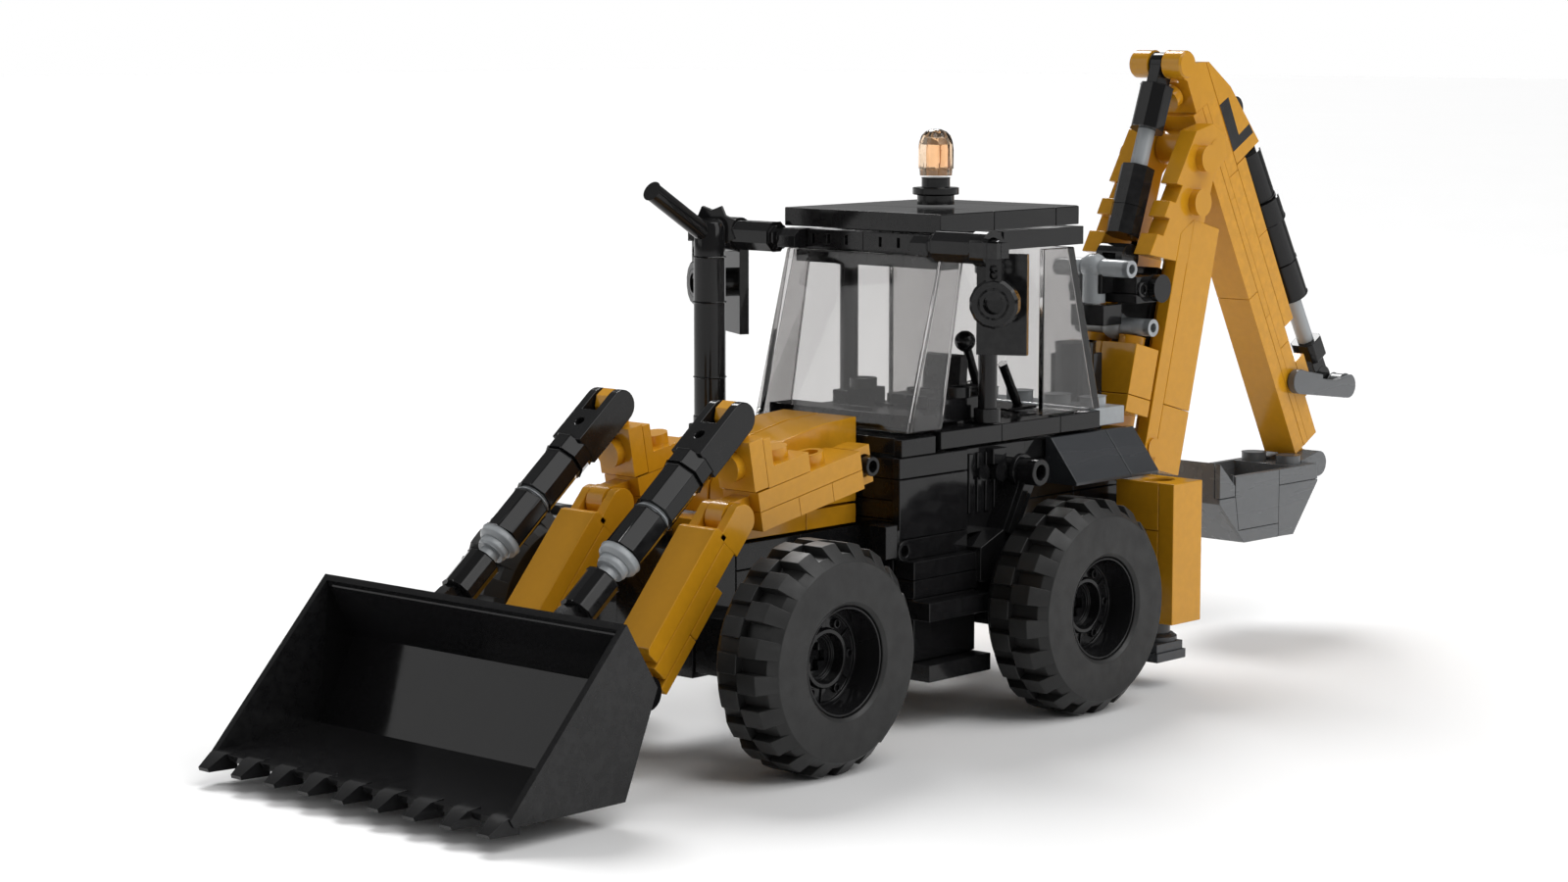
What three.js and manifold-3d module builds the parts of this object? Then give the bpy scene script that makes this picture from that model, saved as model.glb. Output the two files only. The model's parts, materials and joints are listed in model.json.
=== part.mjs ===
// Toy backhoe loader made of small moulded bricks: front loader, cab, stabilisers and rear digging arm.
// Millimetres. +Z is up, -Y is forwards, +X is the left-hand side of the vehicle. The origin is on the
// ground, below the middle of the whole model. Inside this file Y is measured from the front axle.
import * as THREE from 'three';
import { mergeVertices } from 'three/addons/utils/BufferGeometryUtils.js';
import Module from 'manifold-3d';

const wasm = await Module();
wasm.setup();

// ---------------------------------------------------------------- driving dimensions
const GAP = 0.3; // clearance between neighbouring pieces
const PLATE = 3.2; // height of a plate
const STUD_R = 2.4;
const STUD_H = 1.7;
const BAR_R = 1.6;
const JOIN = 0.2; // how far fused blocks reach into each other
const ROUND = 12; // sides of a small cylinder

const TYRE_SIDES = 24;
const TYRE_R = 18.3;
const TYRE_IN = 23.9;
const TYRE_OUT = 36.8;
const RIM_R = 8.6;
const AXLE_Z = TYRE_R * Math.cos(Math.PI / TYRE_SIDES); // stands on a flat of the faceted tyre
const WHEELBASE = 64.9;

const SPINE_X = 8.6; // half width of the centre chassis
const BODY_X = 15.6; // half width of the body under the cab
const SIDE_X = 17.6; // outer face of the side panels
const CAB_X = 17.3; // half width of the cab
const FLOOR_Z = 44.6; // underside of the cab base
const SILL_Z = 48; // top of the cab base
const GLASS_TOP = 76.9;
const ROOF_Z = 80.7;
const ROOF_TOP = 83.9;
const ROOF_FRONT = 44.5;
const ROOF_REAR = 83;
const HOOD_X = 8.2;
const HOOD_REAR = 34.3;

const ARM_X = 13.3; // centre of each loader arm
const ARM_HALF = 3.9;
const LIFT = { y: 27.7, z: 43.9 }; // loader arm pivot
const UPPER_TILT = 10.4; // degrees the upper arm falls towards the front
const ELBOW = { y: -2.5, z: 38.2 };
const LOWER_TILT = 49;
const BUCKET_PIVOT_U = -32; // along the lower arm, from the elbow
const TILT_EAR = { y: -1.5, z: 54 };
const TILT_SLOPE = 38.8;

const BUCKET_HALF = 33.6;
const BUCKET_WALL = 1.3;
const TEETH = 9;

const POST_Y = 103.2; // vertical swing axis of the rear arm
const BOOM = { y: 116.5, z: 38 };
const BOOM_LEAN = -14.7;
const STICK = { y: 135, z: 92 };
const STICK_TILT = 28.1;
const STICK_HALF = 3.7;
const BEAM_IN = 4;
const BEAM_OUT = 7.9;
const DIPPER_LOW = { y: 115.4, z: 72.6 };
const DIPPER_TOP = { y: 128.5, z: 107.5 };
const CURL_TOP = { y: 150.2, z: 99 };
const CURL_LOW = { y: 181.5, z: 45.5 };
const LINK = { y: 167.5, z: 46 };
const SCOOP = { y: 174.3, z: 29.4 };
const SCOOP_HALF = 8;

const FRONT_TIP = -70.4;
const REAR_TIP = 186.85;
const CENTRE_Y = (FRONT_TIP + REAR_TIP) / 2;

// ---------------------------------------------------------------- materials
function plastic(hex, roughness) {
  return new THREE.MeshStandardMaterial({ color: hex, roughness, metalness: 0 });
}
const yellow = plastic('#e8a51f', 0.3);
const black = plastic('#17181a', 0.28);
const darkGrey = plastic('#3d4043', 0.4);
const midGrey = plastic('#6a6f73', 0.35);
const lightGrey = plastic('#a3a8ac', 0.35);
const rubber = plastic('#1b1b1c', 0.6);
const smoke = plastic('#8d8f90', 0.1);
const amber = plastic('#f0a060', 0.12);

// ---------------------------------------------------------------- shape helpers
function solid(geometry) {
  const bare = geometry.clone();
  bare.deleteAttribute('normal');
  bare.deleteAttribute('uv');
  const merged = mergeVertices(bare, 1e-4);
  return new wasm.Manifold(new wasm.Mesh({
    numProp: 3,
    vertProperties: new Float32Array(merged.attributes.position.array),
    triVerts: new Uint32Array(merged.index.array),
  }));
}

function join(parts) {
  return parts.reduce((whole, part) => whole.add(part));
}

function box(x0, x1, y0, y1, z0, z1) {
  const geometry = new THREE.BoxGeometry(x1 - x0, y1 - y0, z1 - z0);
  return solid(geometry.translate((x0 + x1) / 2, (y0 + y1) / 2, (z0 + z1) / 2));
}

function extruded(points, depth) {
  const shape = new THREE.Shape(points.map(([a, b]) => new THREE.Vector2(a, b)));
  return new THREE.ExtrudeGeometry(shape, { depth, bevelEnabled: false });
}

// Outline in (y, z), swept along X.
function slabX(points, x0, x1) {
  const basis = new THREE.Matrix4().makeBasis(
    new THREE.Vector3(0, 1, 0), new THREE.Vector3(0, 0, 1), new THREE.Vector3(1, 0, 0));
  return solid(extruded(points, x1 - x0).applyMatrix4(basis).translate(x0, 0, 0));
}

// Outline in (x, z), swept along Y.
function slabY(points, y0, y1) {
  const basis = new THREE.Matrix4().makeBasis(
    new THREE.Vector3(0, 0, 1), new THREE.Vector3(1, 0, 0), new THREE.Vector3(0, 1, 0));
  const swapped = points.map(([x, z]) => [z, x]);
  return solid(extruded(swapped, y1 - y0).applyMatrix4(basis).translate(0, y0, 0));
}

function rodX(x0, x1, y, z, r, sides = ROUND) {
  const geometry = new THREE.CylinderGeometry(r, r, x1 - x0, sides);
  return solid(geometry.rotateZ(-Math.PI / 2).translate((x0 + x1) / 2, y, z));
}

function rodY(x, y0, y1, z, r, sides = ROUND) {
  const geometry = new THREE.CylinderGeometry(r, r, y1 - y0, sides);
  return solid(geometry.translate(x, (y0 + y1) / 2, z));
}

function rodZ(x, y, z0, z1, r, sides = ROUND) {
  const geometry = new THREE.CylinderGeometry(r, r, z1 - z0, sides);
  return solid(geometry.rotateX(Math.PI / 2).translate(x, y, (z0 + z1) / 2));
}

function ball(x, y, z, r) {
  return solid(new THREE.SphereGeometry(r, 10, 6).translate(x, y, z));
}

// Profile of (radius, height) points turned about an upright axis.
function turned(profile, sides) {
  const points = profile.map(([r, h]) => new THREE.Vector2(r, h));
  return solid(new THREE.LatheGeometry(points, sides));
}

function studZ(x, y, z) {
  return rodZ(x, y, z - JOIN, z + STUD_H, STUD_R);
}

function mirrored(shape) {
  return shape.mirror([1, 0, 0]);
}

const radians = THREE.MathUtils.degToRad;

// Point at (u, v) of a frame that is turned by tilt degrees about X at an origin.
function placed(origin, tilt, u, v) {
  const a = radians(tilt);
  return {
    y: origin.y + u * Math.cos(a) - v * Math.sin(a),
    z: origin.z + u * Math.sin(a) + v * Math.cos(a),
  };
}

// The same point seen from inside such a frame, as [u, v].
function inFrame(point, origin, tilt) {
  const a = radians(tilt);
  const y = point.y - origin.y;
  const z = point.z - origin.z;
  return [y * Math.cos(a) + z * Math.sin(a), z * Math.cos(a) - y * Math.sin(a)];
}

const model = new THREE.Group();
model.position.set(0, -CENTRE_Y, 0);

function tiltedGroup(origin, tilt) {
  const group = new THREE.Group();
  group.position.set(0, origin.y, origin.z);
  group.rotation.x = radians(tilt);
  model.add(group);
  return group;
}

function addPiece(name, shape, material, group = model) {
  const mesh = shape.asOriginal().simplify(0.001).getMesh();
  const geometry = new THREE.BufferGeometry();
  geometry.setAttribute('position', new THREE.BufferAttribute(mesh.vertProperties, 3));
  geometry.setIndex(new THREE.BufferAttribute(mesh.triVerts, 1));
  geometry.computeVertexNormals();
  const piece = new THREE.Mesh(geometry, material);
  piece.name = name;
  group.add(piece);
  return piece;
}

function addPair(name, shape, material, group = model) {
  addPiece(`${name}_left`, shape, material, group);
  addPiece(`${name}_right`, mirrored(shape), material, group);
}

// ---------------------------------------------------------------- wheels
function tyreShape() {
  const inner = RIM_R + GAP;
  const profile = [
    [inner, 0], [TYRE_R - 3, 0], [TYRE_R, 1.6], [TYRE_R, TYRE_OUT - TYRE_IN - 1.6],
    [TYRE_R - 3, TYRE_OUT - TYRE_IN], [inner, TYRE_OUT - TYRE_IN], [inner, 0],
  ];
  const turn = new THREE.LatheGeometry(profile.map(([r, h]) => new THREE.Vector2(r, h)), TYRE_SIDES);
  turn.rotateY(Math.PI / TYRE_SIDES);
  return solid(turn.rotateZ(-Math.PI / 2).translate(TYRE_IN, 0, 0));
}

function rimShape() {
  const depth = TYRE_OUT - TYRE_IN;
  const profile = [
    [2.7, 3.6], [7, 3.6], [7, 0.6], [RIM_R, 0.6], [RIM_R, depth - 0.6], [7.9, depth - 0.6],
    [7.2, 6.4], [4, 7.6], [4, 10.4], [2.7, 10.4], [2.7, 3.6],
  ];
  const turn = new THREE.LatheGeometry(profile.map(([r, h]) => new THREE.Vector2(r, h)), 18);
  return solid(turn.rotateZ(-Math.PI / 2).translate(TYRE_IN, 0, 0));
}

function axleShape() {
  const arm = 2.3;
  const web = 0.9;
  const long = TYRE_IN + 9.6;
  const cross = box(-long, long, -arm, arm, -web, web);
  return cross.add(box(-long, long, -web, web, -arm, arm));
}

function addWheels(end, axleY) {
  const group = new THREE.Group();
  group.position.set(0, axleY, AXLE_Z);
  model.add(group);
  addPiece(`axle_${end}`, axleShape(), lightGrey, group);
  addPair(`rim_${end}`, rimShape(), black, group);
  addPair(`tyre_${end}`, tyreShape(), rubber, group);
}

// ---------------------------------------------------------------- chassis and body
function chassisShape() {
  const top = FLOOR_Z - GAP;
  const frame = join([
    box(-SPINE_X, SPINE_X, -4, 99, 12.5, 32.8),
    box(-21, 21, -4.6, 4.6, 13.4, 22.8),
    box(-21, 21, WHEELBASE - 5, WHEELBASE + 5, 13.4, 24),
    box(-BODY_X, BODY_X, 35, 97.5, 23, top),
    box(-19.2, 19.2, 90.5, 98, 22, 32),
    box(-6, 6, 97, 108, 26, 29.2),
    rodZ(0, POST_Y, 29, 36, BAR_R),
  ]);
  const bore = rodX(-22, 22, 0, AXLE_Z, 2.75);
  return frame.subtract(bore).subtract(bore.translate([0, WHEELBASE, 0]));
}

function sideBlockShape() {
  const inner = BODY_X + GAP;
  const guard = [[51.6, 22.2], [51.6, 28.2], [57.5, 30.6], [63.2, 41.2], [66.6, 38.6], [60.4, 28], [56, 22.2]];
  const pin = rodX(inner, 24, 63.4, 40, 2.3);
  return join([
    box(inner, SIDE_X, 34.3, 51.8, 27.4, FLOOR_Z),
    box(inner, SIDE_X, 34.8, 43.5, FLOOR_Z - JOIN, 47.6),
    box(inner, 20, 35.2, 52, 21.6, 27.6),
    box(inner, 20, 35.2, 51, 9, 21.8),
    box(inner, 23.5, 35, 51, 18, 21.2),
    box(inner, 23.5, 35, 51, 8, 11),
    box(inner, SIDE_X - 0.4, 51.6, 68, 30, FLOOR_Z),
    slabX(guard, inner, 21.4),
    pin.subtract(rodX(20, 25, 63.4, 40, 1.25)),
  ]);
}

function hoodShape() {
  const outline = [
    [HOOD_REAR, 36.7], [HOOD_REAR, 50.8], [26, 50.2], [17.3, 48.5], [12.6, 46.9], [9.4, 44.4],
    [7.8, 41.4], [7.4, 36.7],
  ];
  const shell = slabX(outline, GAP / 2, HOOD_X);
  return shell.subtract(rodX(-1, HOOD_X + 1, LIFT.y, LIFT.z, BAR_R + GAP));
}

function hoodBaseShape() {
  return join([
    box(-HOOD_X, HOOD_X, 6, HOOD_REAR, 33.1, 36.4),
    box(-4, 4, 3, 6 + JOIN, 33.1, 36.4),
  ]);
}

function cabBaseShape() {
  return join([
    box(-BODY_X, BODY_X, 35.2, 45.2, FLOOR_Z + GAP, SILL_Z - GAP),
    box(-CAB_X, CAB_X, 45, 88.3, FLOOR_Z + GAP, SILL_Z),
  ]);
}

function fenderShape() {
  const outline = [[BODY_X + GAP, 36.4], [22.9, 36.4], [22.9, 37], [17.2, 44.4], [BODY_X + GAP, 44.4]];
  return slabY(outline, 74.5, 98);
}

function rearDeckShape() {
  const plate = box(-16, 16, 88.7, 97, FLOOR_Z + GAP, FLOOR_Z + GAP + PLATE);
  const studs = [-12, -4, 4, 12].map((x) => studZ(x, 92.8, FLOOR_Z + GAP + PLATE));
  return join([plate, ...studs]);
}

function towerShape() {
  const tower = box(19.5, 32, 90, 98.5, 11.3, 36.1);
  return tower.subtract(rodZ(25.6, 94.2, 10, 37, 2.8));
}

function legShape() {
  return join([
    rodZ(25.6, 94.2, 7.5, 33, 2.45),
    rodZ(25.6, 94.2, 7.6, 9, 3.6),
    box(22, 30, 88.6, 97, 4.6, 7.8),
  ]);
}

// ---------------------------------------------------------------- cab
function glassShape(frontLow, frontTop, backTop, backLow) {
  const low = SILL_Z + GAP;
  const wall = 1.2;
  const lean = Math.sign(backLow - frontLow);
  const outer = slabX([[frontLow, low], [frontTop, GLASS_TOP], [backTop, GLASS_TOP], [backLow, low]], -CAB_X, CAB_X);
  const over = 4;
  const slope = (frontTop - frontLow) / (GLASS_TOP - low);
  const inner = slabX([
    [frontLow + wall * lean - slope * over, low - over], [frontTop + wall * lean + slope * over, GLASS_TOP + over],
    [backTop + over * lean, GLASS_TOP + over], [backLow + over * lean, low - over],
  ], -CAB_X + wall, CAB_X - wall);
  return outer.subtract(inner);
}

function cabFrameShape() {
  const low = GLASS_TOP + GAP;
  const top = ROOF_Z - GAP;
  const arm = { y: 43.4, z: 78.8 };
  const half = join([
    box(-1, CAB_X, 61.1, 83, low, top),
    box(-1, 13, 45, 48.2, low, top),
    box(9.6, 13, 48, 61.5, low, top),
    rodZ(15.4, 59.4, SILL_Z + GAP, low + 1, BAR_R),
    box(12.8, 17, 58.6, 62, low, top),
    box(12.8, 16.8, 42, 48.2, low, top),
    rodX(16.6, 31.2, arm.y, arm.z, BAR_R),
    rodX(18.2, 24.6, arm.y, arm.z, 2.7, 8),
  ]);
  return half.add(mirrored(half));
}

function roofShape() {
  return box(-17.4, 17.4, ROOF_FRONT, ROOF_REAR, ROOF_Z, ROOF_TOP);
}

function mirrorShape() {
  const yaw = 28;
  const local = join([
    box(-4.2, 4.2, -0.9, 0.9, 61.5, 78),
    rodY(0, -5.8, 0, 70.4, 2.5),
    rodY(0, -8, -5.4, 70.4, 4.05).subtract(rodY(0, -9, -6.4, 70.4, 1.7)),
    box(-1.3, 1.3, -7.8, -5.6, 71, 80.2),
  ]);
  const turnedSet = local.rotate([0, 0, yaw]).translate([29.7, 45.6, 0]);
  const clip = rodX(26.6, 29.4, 43.4, 78.8, 3);
  const bridge = box(28.4, 34.4, 38.2, 41.4, 77.6, 80.2);
  const bore = rodX(20, 32, 43.4, 78.8, BAR_R + GAP);
  return join([turnedSet, clip, bridge]).subtract(bore);
}

function consoleShape() {
  const floor = SILL_Z + GAP;
  return join([
    box(-12, 12, 48.4, 51.6, floor, 54.2),
    box(8.6, 12.2, 51.4, 61.4, floor, 52.4),
    box(-12.2, -8.6, 51.4, 61.4, floor, 52.4),
    box(-4.4, 4.4, 56, 67, floor, 52),
    box(-4.4, 4.4, 65, 67.2, 51, 58.4),
    box(-1.5, 1.5, 51.4, 56.2, floor, 50),
    box(-9, 9, 58, 61, floor, 50),
    box(-1, 1, 66, 74, floor, 49.2),
    box(-4, 9, 73, 81, floor, 48.9),
    rodZ(0, 0, 0, 9, 0.8, 10).rotate([30, 0, 0]).translate([6, 79.4, 48.6]),
  ]);
}

function leverShape() {
  return join([
    ball(0, 72, 60.1, 1.9),
    rodZ(0, 0, 0, 9.4, 0.8, 10).rotate([23, 0, 0]).translate([0, 75.7, 51.4]),
    rodX(-2, 2, 75.8, 50.9, 1.8),
  ]);
}

function beaconBaseShape() {
  return turned([[0, 84.2], [3.2, 84.2], [3.2, 85.9], [4.05, 85.9], [4.05, 87.1], [2.45, 87.1], [2.45, 88.8], [0, 88.8]], 14)
    .rotate([90, 0, 0]).translate([0, 63.9, 0]);
}

function beaconGlobeShape() {
  const profile = [
    [0, 89.1], [2.9, 89.1], [2.9, 90.3], [3.2, 90.6], [3.2, 95], [2.7, 96.3], [1.6, 97], [0, 97.1],
  ];
  return turned(profile, 14).rotate([90, 0, 0]).translate([0, 63.9, 0]);
}

function exhaustShape() {
  const x = -20.6;
  const y = 29.4;
  const pipeTilt = 59;
  const pipe = rodZ(0, 0, -2.5, 14, BAR_R).rotate([pipeTilt, 0, 0]).translate([x, 27.2, 80.6]);
  const holder = rodZ(0, 0, 0, 2.6, 4.1, 8).rotate([pipeTilt, 0, 0]).translate([x, 28.4, 80]);
  return join([
    rodZ(x, y, 47.6, 82.4, 2.72),
    box(x - 2.9, -SIDE_X - GAP, 27, 40, 44.8, 47.8),
    pipe,
    holder,
  ]);
}

// ---------------------------------------------------------------- front loader
const X0 = ARM_X - ARM_HALF;
const X1 = ARM_X + ARM_HALF;

// Drawn level, with the lift pivot at the origin.
function upperArmShape() {
  const plates = box(X0, X1, -26.6, -1.6, -PLATE, PLATE);
  const clip = box(ARM_X - 2.4, ARM_X + 2.4, -2, 1.8, -PLATE, PLATE)
    .subtract(box(0, 20, 0, 4, -1.3, 1.3));
  const riser = join([
    box(X0, X1, -27.2, -24, 3.4, 11.5),
    box(X0, X1, -25.6, -22.3, 2.8, 11.1),
    box(X0, X1, -24, -14.1, 2.8, 6.4),
    rodY(ARM_X, -28.9, -27, 7.5, STUD_R),
    studZ(ARM_X, -18.2, 6.4),
    studZ(ARM_X, -10.1, PLATE),
  ]);
  const ear = join([
    box(ARM_X - 1.3, ARM_X + 1.3, -28.4, -23.8, 11, 15.2),
    rodX(ARM_X - 1.3, ARM_X + 1.3, -26.5, 15.4, 2.5),
  ]);
  const finger = join([
    box(ARM_X - 1.8, ARM_X + 1.8, -30.7, -26.2, -2.6, 2.6),
    rodX(ARM_X - 1.8, ARM_X + 1.8, -30.7, 0, 2.75),
  ]);
  const bore = rodX(0, 20, 0, 0, BAR_R + GAP);
  return join([plates, clip, riser, ear, finger]).subtract(bore);
}

// Drawn level, with the elbow at the origin.
function lowerArmShape() {
  const lugs = [[X0, ARM_X - 2.1], [ARM_X + 2.1, X1]].map(([a, b]) => join([
    rodX(a, b, 0, 0, 2.75),
    box(a, b, -5, 0, -2.6, 2.6),
  ]));
  const beam = join([
    box(X0, X1, -27.4, -3.9, 1.2, 4.4),
    box(X0, X1, -28.4, -4.4, -2, 1.4),
    box(X0, X1, -30, -11, -3.7, -1.8),
  ]);
  const tongue = join([
    box(ARM_X - 1.8, ARM_X + 1.8, BUCKET_PIVOT_U, -27, -2.6, 1.2),
    rodX(ARM_X - 1.8, ARM_X + 1.8, BUCKET_PIVOT_U, 0, 2.75),
  ]);
  return join([...lugs, beam, tongue]);
}

function liftPinShape() {
  const bar = rodX(-X1 - 0.4, X1 + 0.4, 0, 0, BAR_R);
  return bar.subtract(rodX(X1 - 4, X1 + 2, 0, 0, 0.95)).subtract(rodX(-X1 - 2, -X1 + 4, 0, 0, 0.95));
}

function bucketShape() {
  const outer = [
    [-44.1, 29.4], [-42.7, 27], [-37.9, 19.3], [-44.6, 3.4], [-66.4, 3.4], [-67.1, 4.6],
  ];
  const inner = [
    [-46.4, 32], [-44.4, 27.6], [-39.4, 18.9], [-44.6, 8.2], [-66.9, 4.9], [-75, 4.9], [-75, 32],
  ];
  const scoop = slabX(outer, -BUCKET_HALF, BUCKET_HALF)
    .subtract(slabX(inner, -BUCKET_HALF + BUCKET_WALL, BUCKET_HALF - BUCKET_WALL));
  const pitch = (2 * BUCKET_HALF - 4.4) / (TEETH - 1);
  const tooth = [[-65.5, 2.3], [-65.5, 5.2], [-68.2, 4.6], [-70.4, 2.9], [-70.2, 2.3]];
  const teeth = Array.from({ length: TEETH }, (_, i) => {
    const x = -BUCKET_HALF + 2.2 + i * pitch;
    return slabX(tooth, x - 1.9, x + 1.9);
  });
  const pivot = placed(ELBOW, LOWER_TILT, BUCKET_PIVOT_U, 0);
  const lug = [[-39.6, 19], [-42.6, 9], [pivot.y - 1.5, pivot.z - 2.6], [pivot.y, pivot.z + 2.7]];
  const cheeks = [[X0 - 0.2, ARM_X - 2.1], [ARM_X + 2.1, X1 + 0.2]].map(([a, b]) => join([
    slabX(lug, a, b),
    rodX(a, b, pivot.y, pivot.z, 2.75),
  ]));
  const ear = [[-42.4, 25.4], [-38.6, 19], [-34.2, 24.6], [-33.2, 27.4], [-35, 29.2], [-37.2, 28.6]];
  const side = join([...cheeks, slabX(ear, ARM_X - 1.1, ARM_X + 1.1)]);
  return join([scoop, ...teeth, side, mirrored(side)]);
}

// Both cylinder halves are drawn along -Y with the ear pivot at the origin.
function tiltBarrelShape() {
  const fork = join([
    rodX(ARM_X - 3.2, ARM_X + 3.2, 0, 0, 2.7),
    box(ARM_X - 3.2, ARM_X + 3.2, -10.4, 0, -2.7, 2.7),
  ]).subtract(box(ARM_X - 1.6, ARM_X + 1.6, -3.7, 5, -4, 4));
  const barrel = join([
    fork,
    rodY(ARM_X, -13.2, -10, 0, 3.6, 8),
    rodY(ARM_X, -21.4, -13, 0, 3.3, 8),
    rodY(ARM_X, -22.6, -21.2, 0, 2.7, 16),
    rodY(ARM_X, -30.2, -22.4, 0, 3.2, 8),
  ]);
  return barrel.subtract(rodY(ARM_X, -31, -14, 0, BAR_R + GAP));
}

function tiltRodShape() {
  const rod = join([
    rodY(ARM_X, -37, -19, 0, BAR_R),
    rodY(ARM_X, -33, -30.5, 0, 3.4, 16),
    rodY(ARM_X, -34, -32.8, 0, 2.4, 16),
    rodY(ARM_X, -42.4, -35.6, 0, 2.9, 6),
  ]);
  return rod.subtract(box(ARM_X - 1.4, ARM_X + 1.4, -50, -37.4, -4, 4));
}

// ---------------------------------------------------------------- rear digging arm
function swingPostShape() {
  const lug = box(-STICK_HALF, STICK_HALF, POST_Y, BOOM.y, 33, 41.4)
    .add(rodX(-STICK_HALF, STICK_HALF, BOOM.y, BOOM.z, 3.2));
  const column = join([
    rodZ(0, POST_Y, 29.5, 58, 3.8),
    box(-STICK_HALF, STICK_HALF, 100.4, 106.6, 44, 56),
    lug,
  ]);
  return column
    .subtract(rodZ(0, POST_Y, 28, 37, BAR_R + GAP))
    .subtract(rodX(-9, 9, BOOM.y, BOOM.z, BAR_R + GAP));
}

// Boom pieces are drawn upright, with the foot pivot at the origin.
function boomSideShape() {
  const [headY, headZ] = inFrame(STICK, BOOM, BOOM_LEAN);
  const plate = [
    [-10.5, 33.8], [-2.6, 58.7], [2, 61.2], [6.4, 60.4], [8, 56.4], [5, 52], [4.4, 42], [1.2, 34.5],
  ];
  const beam = join([
    box(BEAM_IN, BEAM_OUT, 1, 9.35, -3.8, 43),
    box(BEAM_IN, BEAM_OUT, -1.4, 1.2, -3.8, 40),
    rodZ(6, -1, -3.8, 40, 1.5, 12),
    slabX(plate, BEAM_IN, BEAM_OUT),
    rodX(BEAM_OUT - 1, BEAM_OUT + STUD_H, 0.6, 54.2, STUD_R),
    rodX(BEAM_OUT - 1, BEAM_OUT + STUD_H, 0.7, 46, STUD_R),
    rodX(GAP / 2, BEAM_OUT + 0.4, 0, 0, BAR_R),
    rodX(GAP / 2, BEAM_OUT + 0.4, headY, headZ, BAR_R),
  ]);
  return beam;
}

function boomFootShape() {
  return join([
    box(-BEAM_OUT, BEAM_OUT, -10.1, -3, 5, 17.6),
    box(-STICK_HALF, STICK_HALF, -3.2, 9, 8, 17.6),
  ]);
}

function boomHubShape() {
  const pivot = rodX(-1.2, 1.2, DIPPER_LOW.y, DIPPER_LOW.z, 2.2);
  return join([
    box(-7.8, 7.8, 111, 119.6, 64.6, 69.6),
    rodX(-9.6, 9.6, 116.6, 67.2, STUD_R),
    box(-1.2, 1.2, 113.6, 117.2, 69, DIPPER_LOW.z),
    pivot,
  ]);
}

function teeShape(y, z, drop) {
  const tube = rodX(-8.6, 8.6, y, z, BAR_R);
  return join([tube, ball(0, y, z, 2.6), rodZ(0, y, z - drop, z, 2.1)])
    .subtract(rodX(6, 10, y, z, 0.8)).subtract(rodX(-10, -6, y, z, 0.8));
}

// The stick is drawn upright, with its pivot on the boom at the origin.
function stickPoint(point) {
  return inFrame(point, STICK, STICK_TILT);
}

function stickShape() {
  const front = 1.4;
  const rear = 9.4;
  const [topY, topZ] = stickPoint(DIPPER_TOP);
  const [earY, earZ] = stickPoint(CURL_TOP);
  const [linkY, linkZ] = stickPoint(LINK);
  const [scoopY, scoopZ] = stickPoint(SCOOP);
  const top = 12.6;
  const bottom = -69.4;
  const wedge = [[rear - 1, top + 0.8], [rear + 0.8, top], [rear + 4.8, 5.2], [rear + 8.35, -8.6], [rear - 1, -8.9]];
  const head = [
    [topY - 2.5, topZ], [topY + 1, topZ - 4], [front + 1, 6], [rear - JOIN, 6], [rear - JOIN, top + 0.5],
    [rear - 4, top + 2.2], [topY + 2.5, topZ + 1],
  ];
  const body = join([
    box(-STICK_HALF, STICK_HALF, front, rear, bottom, top),
    slabX(head, -STICK_HALF, STICK_HALF),
    rodX(-5.9, 5.9, topY, topZ, 2.6),
    box(-STICK_HALF, STICK_HALF, rear - JOIN, rear + PLATE, -45, -8),
    box(-STICK_HALF, STICK_HALF, rear - JOIN, rear + PLATE, -61, -53),
    slabX(wedge, -STICK_HALF, STICK_HALF),
    rodX(-STICK_HALF, STICK_HALF, 0, 0, 3.2),
    box(-STICK_HALF, STICK_HALF, 0, front + 1, -3, 3),
    rodX(-1.4, 1.4, scoopY, scoopZ, 2.5),
    box(-1.4, 1.4, front + 1, scoopY + 1.6, scoopZ, bottom + 1),
  ]);
  return body
    .subtract(box(-1.6, 1.6, topY - 5, topY + 5.4, topZ - 4.4, topZ + 5))
    .subtract(box(-1.7, 1.7, earY - 3.4, earY + 9, earZ - 12, earZ + 3))
    .subtract(rodX(-8, 8, 0, 0, BAR_R + GAP))
    .subtract(rodX(-8, 8, linkY, linkZ, BAR_R + GAP));
}

// Cylinders of the digging arm: drawn along +Y from the barrel pivot.
function rearBarrelShape(length, r) {
  return join([
    rodX(-3, 3, 0, 0, 2.3),
    box(-3, 3, 0, 5, -2.3, 2.3),
    rodY(0, 4, length * 0.55, 0, r, 8),
    rodY(0, length * 0.55 - JOIN, length, 0, r - 0.2, 8),
  ]).subtract(box(-1.5, 1.5, -4, 3, -4, 4)).subtract(rodY(0, 6, length + 1, 0, BAR_R + GAP));
}

function tongueBarrelShape(length, r, collar) {
  const neck = 9.4;
  return join([
    rodX(-1.4, 1.4, 0, 0, 2.2),
    box(-1.4, 1.4, 0, neck + JOIN, -2, 2),
    rodY(0, neck, length, 0, r, 12),
    rodY(0, collar, collar + 5, 0, r + 0.5, 12),
  ]).subtract(rodY(0, neck + 3, length + 1, 0, BAR_R + GAP));
}

function rodHalfShape(start, blockStart, reach, r, tongue) {
  const eye = rodX(-tongue, tongue, reach, 0, 2.2).add(box(-tongue, tongue, blockStart + 2, reach, -2, 2));
  return join([
    rodY(0, start, blockStart + 2, 0, BAR_R),
    rodY(0, blockStart, reach - 4.4, 0, r, 8),
    eye,
  ]);
}

function linkShape() {
  const far = 19.6;
  const cheek = join([
    rodX(4, 5.6, 0, 0, 2.5),
    box(4, 5.6, 0, far - 2.5, -2.4, 2),
    rodX(1.7, 5.6, far - 2.5, -0.2, 2.4),
    box(1.7, 5.6, 9.6, far - 2.5, -2.4, 2),
  ]);
  const web = box(-2, 2, far - 2.6, far - 0.6, -2.2, 1.6);
  const pin = rodX(-5, 5, 0, 0, BAR_R);
  return join([cheek, mirrored(cheek), web, pin]);
}

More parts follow.
